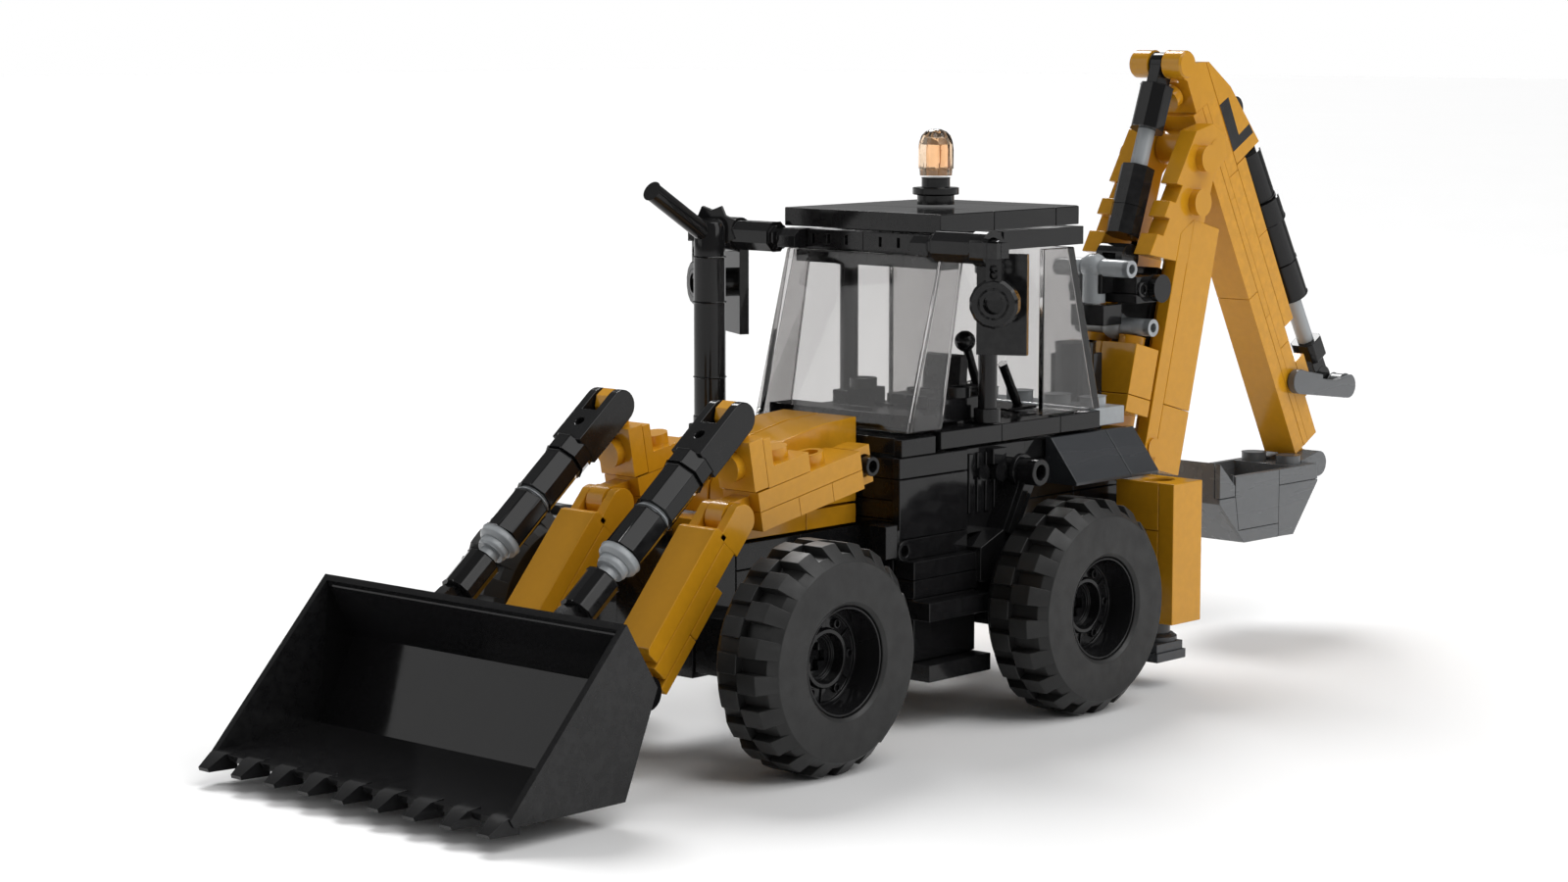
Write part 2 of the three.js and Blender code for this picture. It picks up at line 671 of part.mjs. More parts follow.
function scoopShape() {
  const outer = [
    [137.6, 33], [137.6, 25.2], [145.8, 17.1], [162.2, 16.9], [170.3, 26.6], [170, 30.1], [145.8, 30.1],
  ];
  const lipCut = [[139, 40], [139, 26], [146.4, 18.9], [161.4, 18.7], [163.2, 21], [163.2, 40]];
  const tub = slabX(outer, -SCOOP_HALF, SCOOP_HALF)
    .subtract(slabX(lipCut, -SCOOP_HALF + BUCKET_WALL, SCOOP_HALF - BUCKET_WALL));
  const corner = SCOOP.z - 2.5;
  const fingers = [[1.7, 5.6], [-5.6, -1.7]].map(([a, b]) => join([
    rodX(a, b, SCOOP.y, SCOOP.z, 2.5),
    box(a, b, 168, SCOOP.y, corner, SCOOP.z + 1.2),
  ]));
  const studs = [-4, 4].map((x) => studZ(x, 165.8, 30.1));
  return join([tub, ...fingers, ...studs]);
}

// ---------------------------------------------------------------- assembly
addWheels('front', 0);
addWheels('rear', WHEELBASE);

addPiece('chassis_frame', chassisShape(), black);
addPair('side_block', sideBlockShape(), black);
addPair('hood', hoodShape(), yellow);
addPiece('hood_base', hoodBaseShape(), yellow);
addPiece('cab_base', cabBaseShape(), black);
addPair('fender', fenderShape(), darkGrey);
addPiece('rear_deck', rearDeckShape(), lightGrey);
addPair('stabiliser_tower', towerShape(), yellow);
addPair('stabiliser_leg', legShape(), darkGrey);

addPiece('windscreen', glassShape(36.9, 45, 50.8, 45.4), smoke);
addPiece('rear_window', glassShape(88.2, 80.4, 72, 72), smoke);
addPiece('cab_frame', cabFrameShape(), black);
addPiece('roof', roofShape(), black);
addPair('mirror', mirrorShape(), black);
addPiece('seat_console', consoleShape(), black);
addPiece('drive_lever', leverShape(), black);
addPiece('beacon_base', beaconBaseShape(), black);
addPiece('beacon_globe', beaconGlobeShape(), amber);
addPiece('exhaust_stack', exhaustShape(), black);

const upperArms = tiltedGroup(LIFT, UPPER_TILT);
addPair('upper_arm', upperArmShape(), yellow, upperArms);
addPiece('lift_pin', liftPinShape(), black, upperArms);
const lowerArms = tiltedGroup(ELBOW, LOWER_TILT);
addPair('lower_arm', lowerArmShape(), yellow, lowerArms);
addPiece('loader_bucket', bucketShape(), black);
const tiltCylinders = tiltedGroup(TILT_EAR, TILT_SLOPE);
addPair('tilt_barrel', tiltBarrelShape(), black, tiltCylinders);
addPair('tilt_rod', tiltRodShape(), lightGrey, tiltCylinders);

addPiece('swing_post', swingPostShape(), black);
const boom = tiltedGroup(BOOM, BOOM_LEAN);
addPair('boom_beam', boomSideShape(), yellow, boom);
addPiece('boom_foot', boomFootShape(), yellow, boom);
addPiece('boom_hub', boomHubShape(), black);
addPiece('hose_tee_upper', teeShape(108.6, 71.2, 6.4), lightGrey);
addPiece('hose_tee_lower', teeShape(115.2, 60.2, 0.5), lightGrey);
const stick = tiltedGroup(STICK, STICK_TILT);
addPiece('stick', stickShape(), yellow, stick);

function slopeBetween(a, b) {
  return THREE.MathUtils.radToDeg(Math.atan2(b.z - a.z, b.y - a.y));
}
const dipperReach = Math.hypot(DIPPER_TOP.y - DIPPER_LOW.y, DIPPER_TOP.z - DIPPER_LOW.z);
const dipper = tiltedGroup(DIPPER_LOW, slopeBetween(DIPPER_LOW, DIPPER_TOP));
addPiece('dipper_barrel', rearBarrelShape(17.2, 3.2), black, dipper);
addPiece('dipper_rod', rodHalfShape(13, 24.4, dipperReach, 3.2, 1.3), lightGrey, dipper);
const curlReach = Math.hypot(CURL_LOW.y - CURL_TOP.y, CURL_LOW.z - CURL_TOP.z);
const curl = tiltedGroup(CURL_TOP, slopeBetween(CURL_TOP, CURL_LOW));
addPiece('curl_barrel', tongueBarrelShape(42.4, 3, 20), black, curl);
addPiece('curl_rod', rodHalfShape(30, 53, curlReach, 2.6, 1.4), lightGrey, curl);
addPiece('bucket_link', linkShape(), midGrey, tiltedGroup(LINK, -6.5));
addPiece('backhoe_bucket', scoopShape(), midGrey);

export default model;
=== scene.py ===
import json
import math

import bmesh
import bpy
from mathutils import Matrix, Vector


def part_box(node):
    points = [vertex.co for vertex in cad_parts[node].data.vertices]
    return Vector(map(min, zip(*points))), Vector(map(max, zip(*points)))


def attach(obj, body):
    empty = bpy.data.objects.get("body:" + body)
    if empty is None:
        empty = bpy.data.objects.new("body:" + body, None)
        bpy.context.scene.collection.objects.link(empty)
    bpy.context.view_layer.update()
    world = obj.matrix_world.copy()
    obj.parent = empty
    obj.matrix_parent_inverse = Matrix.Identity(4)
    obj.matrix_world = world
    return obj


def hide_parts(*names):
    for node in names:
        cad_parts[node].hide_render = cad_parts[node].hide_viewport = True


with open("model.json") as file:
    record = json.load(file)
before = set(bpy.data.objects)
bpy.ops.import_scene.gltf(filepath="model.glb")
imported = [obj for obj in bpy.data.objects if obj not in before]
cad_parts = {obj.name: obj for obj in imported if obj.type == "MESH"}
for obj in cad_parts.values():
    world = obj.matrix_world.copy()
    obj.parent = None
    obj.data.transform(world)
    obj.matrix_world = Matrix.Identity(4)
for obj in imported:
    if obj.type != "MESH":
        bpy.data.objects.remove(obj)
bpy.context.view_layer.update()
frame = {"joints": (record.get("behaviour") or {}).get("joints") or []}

MM = 0.001
GAP = 0.3        # clearance between moving pieces
PLATE = 3.2      # height of a thin brick
STUD_R = 2.4
STUD_H = 1.7
BAR_R = 1.6
BORE_R = BAR_R + GAP
SEAM = 0.05      # how far each brick stops short of its cell
EDGE = 0.16      # rounding of moulded edges
SHARP = math.radians(28)
SIDES = 36       # sides of a round piece
SINK = 0.2       # how far a stud reaches into its brick

joints = {joint["name"]: joint for joint in frame["joints"]}


def node_box(node):
    """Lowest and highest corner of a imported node, in millimetres of the row frame."""
    low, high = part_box(node)
    return [c / MM for c in low], [c / MM for c in high]


def node_middle(node):
    low, high = node_box(node)
    return [(a + b) / 2 for a, b in zip(low, high)]


FRONT_AXLE = node_middle("axle_front")[1]
AXLE_Z = node_middle("axle_front")[2]
WHEELBASE = node_middle("axle_rear")[1] - FRONT_AXLE


def pivot(joint):
    """The (y, z) of a joint's axis, with y measured from the front axle."""
    position = joints[joint]["pos_m"]
    return position[1] / MM - FRONT_AXLE, position[2] / MM


def place(origin=(0.0, 0.0), tilt=0.0):
    """Local frame at (y, z), turned by tilt degrees about X."""
    y, z = origin
    turn = Matrix.Rotation(math.radians(tilt), 4, "X")
    return Matrix.Translation((0, y + FRONT_AXLE, z)) @ turn


def slope(a, b):
    return math.degrees(math.atan2(b[1] - a[1], b[0] - a[0]))


def along(origin, tilt, distance):
    a = math.radians(tilt)
    return origin[0] + distance * math.cos(a), origin[1] + distance * math.sin(a)


def inside(point, origin, tilt):
    """A (y, z) point seen from inside a tilted frame."""
    a = math.radians(tilt)
    y, z = point[0] - origin[0], point[1] - origin[1]
    return y * math.cos(a) + z * math.sin(a), z * math.cos(a) - y * math.sin(a)


# ------------------------ camera
CAMERA_AT = (0.3742, -0.43853, 0.1147)
CAMERA_AIM = (-0.6728, 0.7297, -0.1221)
CAMERA_LENS = 77.65


def add_camera():
    data = bpy.data.cameras.new("camera")
    data.lens = CAMERA_LENS
    data.sensor_width = 36
    data.clip_start = 0.01
    camera = bpy.data.objects.new("camera", data)
    camera.location = CAMERA_AT
    camera.rotation_euler = Vector(CAMERA_AIM).to_track_quat("-Z", "Y").to_euler()
    bpy.context.scene.collection.objects.link(camera)
    bpy.context.scene.camera = camera


add_camera()


# ------------------------ shells
# A shell is (vertices, faces), closed, with its faces pointing out.
def oriented(verts, faces):
    volume = 0.0
    for face in faces:
        a = Vector(verts[face[0]])
        for i in range(1, len(face) - 1):
            volume += a.dot(Vector(verts[face[i]]).cross(Vector(verts[face[i + 1]])))
    if volume < 0:
        faces = [tuple(reversed(face)) for face in faces]
    return verts, faces


def loft(rings):
    """A closed shell through rings that all have the same number of points."""
    count = len(rings[0])
    verts = [point for ring in rings for point in ring]
    last = len(verts) - 1
    faces = [tuple(range(count)), tuple(range(last, last - count, -1))]
    for start in range(0, len(verts) - count, count):
        for i in range(count):
            j = (i + 1) % count
            faces.append((start + i, start + count + i, start + count + j, start + j))
    return oriented(verts, faces)


def swept(outline, low, high, to_point):
    return loft([[to_point(a, b, height) for a, b in outline] for height in (low, high)])


def prism_x(outline, x0, x1):
    return swept(outline, x0, x1, lambda y, z, x: (x, y, z))


def prism_y(outline, y0, y1):
    return swept(outline, y0, y1, lambda x, z, y: (x, y, z))


def prism_z(outline, z0, z1):
    return swept(outline, z0, z1, lambda x, y, z: (x, y, z))


def block(x0, x1, y0, y1, z0, z1, seam=SEAM):
    outline = [(y0 + seam, z0 + seam), (y1 - seam, z0 + seam), (y1 - seam, z1 - seam), (y0 + seam, z1 - seam)]
    return prism_x(outline, x0 + seam, x1 - seam)


AXES = {
    "x": lambda r, c, s, h: (h, r * c, r * s),
    "y": lambda r, c, s, h: (r * s, h, r * c),
    "z": lambda r, c, s, h: (r * c, r * s, h),
}


def lathe(profile, axis="z", at=(0, 0, 0), sides=SIDES, phase=0.0):
    """Turns (radius, height) points about an axis. A profile that starts at radius 0 is solid."""
    is_solid = profile[0][0] == 0
    rings = [p for p in profile if p[0] > 0]
    verts = []
    for r, h in rings:
        for k in range(sides):
            a = 2 * math.pi * (k + phase) / sides
            x, y, z = AXES[axis](r, math.cos(a), math.sin(a), h)
            verts.append((x + at[0], y + at[1], z + at[2]))
    faces = []
    for i in range(len(rings) - 1 if is_solid else len(rings)):
        j = (i + 1) % len(rings)
        for k in range(sides):
            m = (k + 1) % sides
            faces.append((i * sides + k, i * sides + m, j * sides + m, j * sides + k))
    if is_solid:
        last = (len(rings) - 1) * sides
        faces.append(tuple(range(sides)))
        faces.append(tuple(range(last + sides - 1, last - 1, -1)))
    return oriented(verts, faces)


def rod(axis, at, h0, h1, r, sides=SIDES, phase=0.0):
    return lathe([(0, h0), (r, h0), (r, h1), (0, h1)], axis, at, sides, phase)


def tube(axis, at, h0, h1, r, bore, sides=SIDES):
    return lathe([(bore, h0), (r, h0), (r, h1), (bore, h1)], axis, at, sides)


def octagon(axis, at, h0, h1, r):
    return rod(axis, at, h0, h1, r, 8, 0.5)


def arc(r, first, last, steps, at=(0.0, 0.0)):
    """Points along an arc, from one angle to another in degrees."""
    angles = [math.radians(first + (last - first) * k / steps) for k in range(steps + 1)]
    return [(at[0] + r * math.cos(a), at[1] + r * math.sin(a)) for a in angles]


def ball(at, r):
    return lathe([(0, -r)] + arc(r, -72, 72, 8) + [(0, r)], "z", at, 24)


def stud(axis, at, up=1, hollow=False):
    """A stud that stands on a face at a point; hollow studs have an open middle."""
    top = STUD_H * up
    if hollow:
        return tube(axis, at, -SINK * up, top, STUD_R, 1.55)
    return rod(axis, at, -SINK * up, top, STUD_R)


def turned_about_z(shells, degrees, at):
    matrix = Matrix.Translation(at) @ Matrix.Rotation(math.radians(degrees), 4, "Z")
    return moved(shells, matrix)


def moved(shells, matrix):
    return [([tuple(matrix @ Vector(v)) for v in verts], faces) for verts, faces in shells]


def mirrored(shells):
    return [([(-x, y, z) for x, y, z in verts], [tuple(reversed(face)) for face in faces])
            for verts, faces in shells]


def both_sides(shells):
    return shells + mirrored(shells)


def mesh_from(name, shells):
    verts = []
    faces = []
    for shell_verts, shell_faces in shells:
        start = len(verts)
        verts.extend(shell_verts)
        faces.extend(tuple(i + start for i in face) for face in shell_faces)
    mesh = bpy.data.meshes.new(name)
    mesh.from_pydata(verts, [], faces)
    return mesh


def cut(shell, *cutters):
    """The shell with the cutters taken out of it."""
    base = bpy.data.objects.new("cut_base", mesh_from("cut_base", [shell]))
    tool = bpy.data.objects.new("cut_tool", mesh_from("cut_tool", list(cutters)))
    for thing in (base, tool):
        bpy.context.scene.collection.objects.link(thing)
    modifier = base.modifiers.new("cut", "BOOLEAN")
    modifier.operation = "DIFFERENCE"
    modifier.solver = "EXACT"
    modifier.use_self = len(cutters) > 1
    modifier.object = tool
    graph = bpy.context.evaluated_depsgraph_get()
    mesh = bpy.data.meshes.new_from_object(base.evaluated_get(graph))
    grid = bmesh.new()
    grid.from_mesh(mesh)
    bmesh.ops.dissolve_limit(grid, angle_limit=math.radians(1), verts=grid.verts, edges=grid.edges)
    grid.to_mesh(mesh)
    grid.free()
    result = [tuple(v.co) for v in mesh.vertices], [tuple(p.vertices) for p in mesh.polygons]
    for thing in (base, tool):
        data = thing.data
        bpy.data.objects.remove(thing)
        bpy.data.meshes.remove(data)
    bpy.data.meshes.remove(mesh)
    return result


# ------------------------ materials
class Graph:
    """Short calls for building a node material."""

    def __init__(self, name):
        self.material = bpy.data.materials.new(name)
        self.material.use_nodes = True
        self.tree = self.material.node_tree
        self.shader = self.tree.nodes["Principled BSDF"]
        self.coords = self.tree.nodes.new("ShaderNodeTexCoord").outputs["Object"]

    def link(self, source, target):
        self.tree.links.new(source, target)

    def noise(self, scale, detail=2.0, stretch=(1, 1, 1)):
        mapping = self.tree.nodes.new("ShaderNodeMapping")
        mapping.inputs["Scale"].default_value = stretch
        self.link(self.coords, mapping.inputs["Vector"])
        node = self.tree.nodes.new("ShaderNodeTexNoise")
        node.inputs["Scale"].default_value = scale
        node.inputs["Detail"].default_value = detail
        self.link(mapping.outputs["Vector"], node.inputs["Vector"])
        return node.outputs["Fac"]

    def remap(self, value, from_low, from_high, to_low, to_high):
        node = self.tree.nodes.new("ShaderNodeMapRange")
        ends = {"From Min": from_low, "From Max": from_high, "To Min": to_low, "To Max": to_high}
        for key, number in ends.items():
            node.inputs[key].default_value = number
        self.link(value, node.inputs["Value"])
        return node.outputs["Result"]

    def multiply(self, a, b):
        node = self.tree.nodes.new("ShaderNodeMath")
        node.operation = "MULTIPLY"
        self.link(a, node.inputs[0])
        self.link(b, node.inputs[1])
        return node.outputs["Value"]

    def mix(self, factor, a, b):
        node = self.tree.nodes.new("ShaderNodeMix")
        node.data_type = "RGBA"
        self.link(factor, node.inputs["Factor"])
        for socket, colour in ((node.inputs[6], a), (node.inputs[7], b)):
            if isinstance(colour, tuple):
                socket.default_value = (*colour, 1)
            else:
                self.link(colour, socket)
        return node.outputs[2]

    def worn_edges(self):
        geometry = self.tree.nodes.new("ShaderNodeNewGeometry")
        edge = self.remap(geometry.outputs["Pointiness"], 0.53, 0.62, 0, 1)
        return self.multiply(edge, self.remap(self.noise(700, 3), 0.4, 0.65, 0, 1))

    def bump(self, height, strength, distance):
        node = self.tree.nodes.new("ShaderNodeBump")
        node.inputs["Strength"].default_value = strength
        node.inputs["Distance"].default_value = distance
        self.link(height, node.inputs["Height"])
        self.link(node.outputs["Normal"], self.shader.inputs["Normal"])


def scaled(colour, factor):
    return tuple(min(1.0, c * factor) for c in colour)


def plastic(name, colour, low_rough, high_rough, specular=0.5):
    """Moulded plastic: faint flow clouds, rubbed edges, fine handling scratches in the gloss."""
    g = Graph(name)
    clouds = g.mix(g.remap(g.noise(28, 2), 0.3, 0.7, 0, 1), scaled(colour, 0.985), scaled(colour, 1.015))
    worn = scaled(colour, 1.12) if max(colour) > 0.1 else tuple(c + 0.006 for c in colour)
    g.link(g.mix(g.worn_edges(), clouds, worn), g.shader.inputs["Base Color"])
    scratches = g.noise(260, 4, (1, 0.12, 1))
    g.link(g.remap(scratches, 0.3, 0.75, low_rough, high_rough), g.shader.inputs["Roughness"])
    g.shader.inputs["Specular IOR Level"].default_value = specular
    g.bump(g.noise(700, 2), 0.03, 0.00002)
    return g.material


def rubber(name, colour):
    g = Graph(name)
    dust = g.remap(g.noise(120, 4), 0.35, 0.75, 0, 1)
    clouds = g.mix(dust, scaled(colour, 0.85), scaled(colour, 1.25))
    g.link(g.mix(g.worn_edges(), clouds, scaled(colour, 1.8)), g.shader.inputs["Base Color"])
    g.link(g.remap(g.noise(400, 3), 0.3, 0.7, 0.42, 0.58), g.shader.inputs["Roughness"])
    g.bump(g.noise(2200, 3), 0.18, 0.00006)
    return g.material


def clear(name, colour, tint):
    """Clear moulded plastic with faint flow streaks and a slightly uneven polish."""
    g = Graph(name)
    streaks = g.remap(g.noise(70, 2, (1, 1, 0.3)), 0.3, 0.7, 0, 1)
    g.link(g.mix(streaks, colour, tint), g.shader.inputs["Base Color"])
    g.link(g.remap(g.noise(300, 3), 0.3, 0.7, 0.02, 0.06), g.shader.inputs["Roughness"])
    g.shader.inputs["Transmission Weight"].default_value = 1.0
    g.shader.inputs["IOR"].default_value = 1.45
    g.bump(g.noise(240, 1), 0.03, 0.00004)
    return g.material


def floor_material():
    g = Graph("floor_paper")
    g.link(g.mix(g.noise(6, 3), (0.94, 0.94, 0.94), (0.96, 0.96, 0.96)), g.shader.inputs["Base Color"])
    g.link(g.remap(g.noise(40, 3), 0.3, 0.7, 0.55, 0.7), g.shader.inputs["Roughness"])
    g.bump(g.noise(1500, 2), 0.02, 0.0001)
    return g.material


MATERIALS = {
    "yellow": plastic("yellow_plastic", (0.60, 0.28, 0.012), 0.14, 0.2, 0.4),
    "black": plastic("black_plastic", (0.009, 0.009, 0.0095), 0.08, 0.13, 0.28),
    "dark_grey": plastic("dark_grey_plastic", (0.042, 0.045, 0.050), 0.2, 0.32),
    "mid_grey": plastic("mid_grey_plastic", (0.115, 0.12, 0.125), 0.22, 0.34),
    "light_grey": plastic("light_grey_plastic", (0.34, 0.36, 0.375), 0.18, 0.3),
    "tyre_rubber": rubber("tyre_rubber", (0.011, 0.011, 0.0108)),
    "smoke_clear": clear("smoke_clear_plastic", (0.53, 0.52, 0.515), (0.58, 0.57, 0.565)),
    "amber_clear": clear("amber_clear_plastic", (1.0, 0.73, 0.50), (1.0, 0.84, 0.66)),
}
FLOOR = floor_material()


# ------------------------ making pieces
def make(name, shells, body, slot, at=None, edge=EDGE):
    """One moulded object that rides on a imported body."""
    matrix = Matrix.Scale(MM, 4) @ (at or place())
    mesh = mesh_from(name, moved(shells, matrix))
    for polygon in mesh.polygons:
        polygon.use_smooth = True
    mesh.set_sharp_from_angle(angle=SHARP)
    mesh.materials.append(MATERIALS[slot])
    thing = bpy.data.objects.new(name, mesh)
    bpy.context.scene.collection.objects.link(thing)
    bevel = thing.modifiers.new("moulded_edges", "BEVEL")
    bevel.width = edge * MM
    bevel.segments = 2
    bevel.limit_method = "ANGLE"
    bevel.angle_limit = SHARP
    bevel.harden_normals = True
    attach(thing, body)
    return thing


def piece(node, shells, body, slot, at=None, edge=EDGE):
    """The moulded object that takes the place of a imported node."""
    thing = make(f"{node}_moulded", shells, body, slot, at, edge)
    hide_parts(node)


def pair(node, shells, bodies, slot, at=None, edge=EDGE):
    """The left piece and its mirror image. Bodies that end in an underscore are one for each side."""
    for side, half in (("left", shells), ("right", mirrored(shells))):
        body = bodies + side if bodies.endswith("_") else bodies
        piece(f"{node}_{side}", half, body, slot, at, edge)


# ------------------------ wheels
TYRE_LOW, TYRE_HIGH = node_box("tyre_front_left")
TREAD_IN, TREAD_OUT = TYRE_LOW[0], TYRE_HIGH[0]
TREAD_R = AXLE_Z - 0.04
LUGS = 20
LUG_SHARE = 0.56
LUG_DEPTH = 1.5
RIM_R = 8.6


def around_x(section, a0, a1, steps):
    """A block whose (x, radius) section follows an arc about the X axis."""
    angles = [a0 + (a1 - a0) * k / steps for k in range(steps + 1)]
    return loft([[(x, r * math.cos(a), r * math.sin(a)) for x, r in section] for a in angles])


def tyre_shells():
    middle = (TREAD_IN + TREAD_OUT) / 2
    floor_r = TREAD_R - LUG_DEPTH
    shoulder = 2.6
    profile = [
        (RIM_R + 0.1, TREAD_IN + 0.5), (RIM_R + 0.7, TREAD_IN), (TREAD_R - shoulder, TREAD_IN),
        (floor_r, TREAD_IN + 1.5), (floor_r, TREAD_OUT - 1.5), (TREAD_R - shoulder, TREAD_OUT),
        (RIM_R + 0.7, TREAD_OUT), (RIM_R + 0.1, TREAD_OUT - 0.5),
    ]
    shells = [lathe(profile, "x", sides=80)]
    half = TREAD_OUT - middle
    section = [
        (0.08, floor_r - 0.5), (0.08, TREAD_R), (half - shoulder, TREAD_R),
        (half - 0.04, TREAD_R - shoulder), (half - 1.4, TREAD_R - shoulder - 0.8),
    ]
    pitch = 2 * math.pi / LUGS
    for row in (1, -1):
        start = 0 if row > 0 else pitch / 2
        for k in range(LUGS):
            a = start + k * pitch
            outline = [(middle + row * x, r) for x, r in section]
            shells.append(around_x(outline, a, a + pitch * LUG_SHARE, 3))
    return shells


def rim_shells():
    """Deep barrel, bolted disc, and a hub with a cross-shaped hole at its bottom."""
    face = TREAD_OUT - 0.6
    disc = face - 4.2
    floor = disc - 2.1
    barrel = [
        (7.0, TREAD_IN + 0.6), (RIM_R, TREAD_IN + 0.6), (RIM_R, face - 0.1), (8.35, face),
        (8.15, face), (7.95, face - 0.9), (7.6, disc + 0.9), (7.45, disc - 0.5), (7.0, disc - 0.5),
    ]
    plate = [
        (3.9, disc - 1.8), (7.5, disc - 1.8), (7.5, disc), (7.0, disc), (6.9, disc - 0.4), (4.7, disc - 0.4),
        (4.6, disc + 0.5), (3.9, disc + 0.5),
    ]
    hub = [
        (3.1, floor - 2), (4.4, floor - 2), (4.4, disc - 1.5), (3.75, disc - 1.5), (3.65, floor + 0.3),
        (3.1, floor + 0.3),
    ]
    cross = prism_x(cross_outline(2.35, 1.0), floor - 3, floor + 1)
    shells = [
        lathe(barrel, "x", sides=48), lathe(plate, "x", sides=48), lathe(hub, "x"),
        cut(rod("x", (0, 0, 0), floor - 2, floor, 3.6), cross),
        tube("x", (0, 0, 0), TREAD_IN + 3.6, floor - 2.1, 7, 2.7),
    ]
    for k in range(6):
        a = math.pi * k / 3
        at = (0, 5.8 * math.cos(a), 5.8 * math.sin(a))
        shells.append(tube("x", at, disc - 0.6, disc + 0.15, 0.8, 0.45, 16))
        spoke = [(disc - 0.7, 4.6), (disc - 0.7, 7.0), (disc - 0.1, 6.9), (disc - 0.1, 4.7)]
        shells.append(around_x(spoke, a + 0.42, a + 0.62, 2))
    return shells


def cross_outline(arm, web):
    """Outline of a cross, going round."""
    outline = []
    for dy, dz in ((1, 1), (-1, 1), (-1, -1), (1, -1)):
        corner = [(arm * dy, web * dz), (web * dy, web * dz), (web * dy, arm * dz)]
        outline += corner if dy * dz > 0 else corner[::-1]
    return outline


def axle_shells():
    low, high = node_box("axle_front")
    arm = (high[2] - low[2]) / 2 - SEAM
    return both_sides([
        prism_x(cross_outline(arm, 0.85), 0.02, TREAD_IN + 5), tube("x", (0, 0, 0), 21.4, 23.4, 3.4, 2.45),
    ])


def build_wheels():
    for end, y in (("front", 0.0), ("rear", WHEELBASE)):
        hub = place((y, AXLE_Z))
        body = f"{end}_wheels"
        piece(f"axle_{end}", axle_shells(), body, "black", hub)
        pair(f"rim_{end}", rim_shells(), body, "black", hub, 0.12)
        pair(f"tyre_{end}", tyre_shells(), body, "tyre_rubber", hub, 0.14)


# ------------------------ chassis and body
def layers(x0, x1, y0, y1, heights, cuts=()):
    """Bricks stacked between the heights and split along y at the cuts."""
    lines = [y0, *cuts, y1]
    shells = []
    for low, high in zip(heights, heights[1:]):
        for a, b in zip(lines, lines[1:]):
            shells.append(block(x0, x1, a, b, low, high))
    return shells


def chassis_shells():
    shells = layers(-8.6, 8.6, 5, 59.6, [12.5, 22.1, 25.3, 28.5, 32.8], [20, 36])
    shells += layers(-8.6, 8.6, 70.2, 99, [12.5, 22.1, 25.3, 32.8], [84])
    for y, top in ((0, 22.8), (WHEELBASE, 24)):
        axle = (0, y, AXLE_Z)
        bore = rod("x", axle, -23, 23, 2.75)
        carrier = cut(block(8.6, 21, y - 4.6, y + 4.6, 13.4, top), bore)
        shells += both_sides([carrier, tube("x", axle, 20.9, 21.3, 4, 2.8)])
        shells.append(cut(block(-8.6, 8.6, y - 5, y + 5, 12.5, 32.8), bore))
    shells += layers(-15.6, 15.6, 35, 97.5, [24.2, 30.9, 34.1, 37.3, 40.9, 44.25], [51, 67, 83])
    shells += both_sides(layers(8.6, 19.2, 90.5, 98, [22, 25.2, 28.4, 32]))
    shells.append(block(-6, 6, 97, 108, 26, 29.2))
    shells.append(rod("z", (0, pivot("backhoe_swing")[0], 0), 29, 36, BAR_R))
    shells += both_sides([stud("z", (4, 0, 32.8)), stud("x", (15.55, 93.4, 37.6))])
    return shells


def side_block_shells():
    inner = 15.9
    wall = 17.6
    shells = [block(inner, out, *box) for out, *box in (
        (wall, 34.3, 51.8, 41, 44.55), (wall, 34.3, 51.8, 31, 41), (wall, 34.3, 51.8, 27.5, 31),
        (wall, 34.8, 43.5, 44.55, 47.6), (20, 35.2, 52, 24.5, 27.6), (20, 35.2, 52, 21.4, 24.5),
        (20, 35.2, 51, 11, 21.4), (20, 35.2, 51, 9, 11), (23.5, 35, 51, 18, 21.2),
        (23.5, 35, 51, 8, 11), (wall - 0.8, 51.6, 68, 30, 44.55), (19.6, 28.6, 31.6, 28.6, 34.2),
        (19.2, 31.4, 32.8, 30, 33.2), (18.4, 31.4, 35.4, 28.4, 30.8),
    )]
    for k in range(5):
        y = 52.6 + 2.2 * k
        shells.append(block(wall - 0.9, wall - 0.4, y, y + 1.2, 33.4, 43.6))
    guard = [(51.6, 22.4), (51.6, 28.2), (57.5, 30.6), (63.2, 41.2), (66.6, 38.6), (60.4, 28), (56, 22.4)]
    ridge = [(57.9, 30.2), (62.6, 39), (64, 38), (59, 29.4)]
    clip = (0, 63.4, 40)
    return shells + [
        rod("x", (0, 59.4, 40.2), wall - 1.1, wall + 1.1, 1.5),
        rod("x", (0, 55.8, 40.2), wall - 1.1, wall + 0.2, 1.2),
        block(wall - 1, wall + 0.9, 57.4, 61, 41.4, 44.2),
        prism_x(guard, inner, 20.6), prism_x(ridge, 20.5, 21.35), tube("x", clip, 20.6, 23.9, 2.3, 1.25),
        rod("x", clip, inner, 20.7, 2.1), tube("x", clip, 19.2, 20.2, 2.9, 2),
        tube("x", (0, 33.4, 29.6), 17.6, 19.6, 1.7, 0.95, 24),
    ]


def hood_shells():
    outline = [
        (34.25, 36.75), (34.25, 50.75), (26, 50.2), (17.3, 48.5), (12.6, 46.9), (9.4, 44.4), (7.8, 41.4),
        (7.4, 36.75),
    ]
    pin_hole = rod("x", (0, *pivot("loader_lift")), -1, 9, BORE_R)
    return [cut(prism_x(outline, 0.2, 8.15), pin_hole)]


def hood_base_shells():
    low, high = 33.1, 36.4
    return [
        block(-8.2, 0, 6, 22, low, high), block(0, 8.2, 6, 22, low, high),
        block(-8.2, 8.2, 22, 34.3, low, high), block(-4, 4, 3, 6.2, low, high),
    ]


def cab_base_shells():
    front = block(-15.6, 15.6, 35.2, 45.1, 44.9, 47.7)
    return [front] + layers(-17.3, 17.3, 45.1, 88.3, [44.9, 48], [61.1, 77.1])


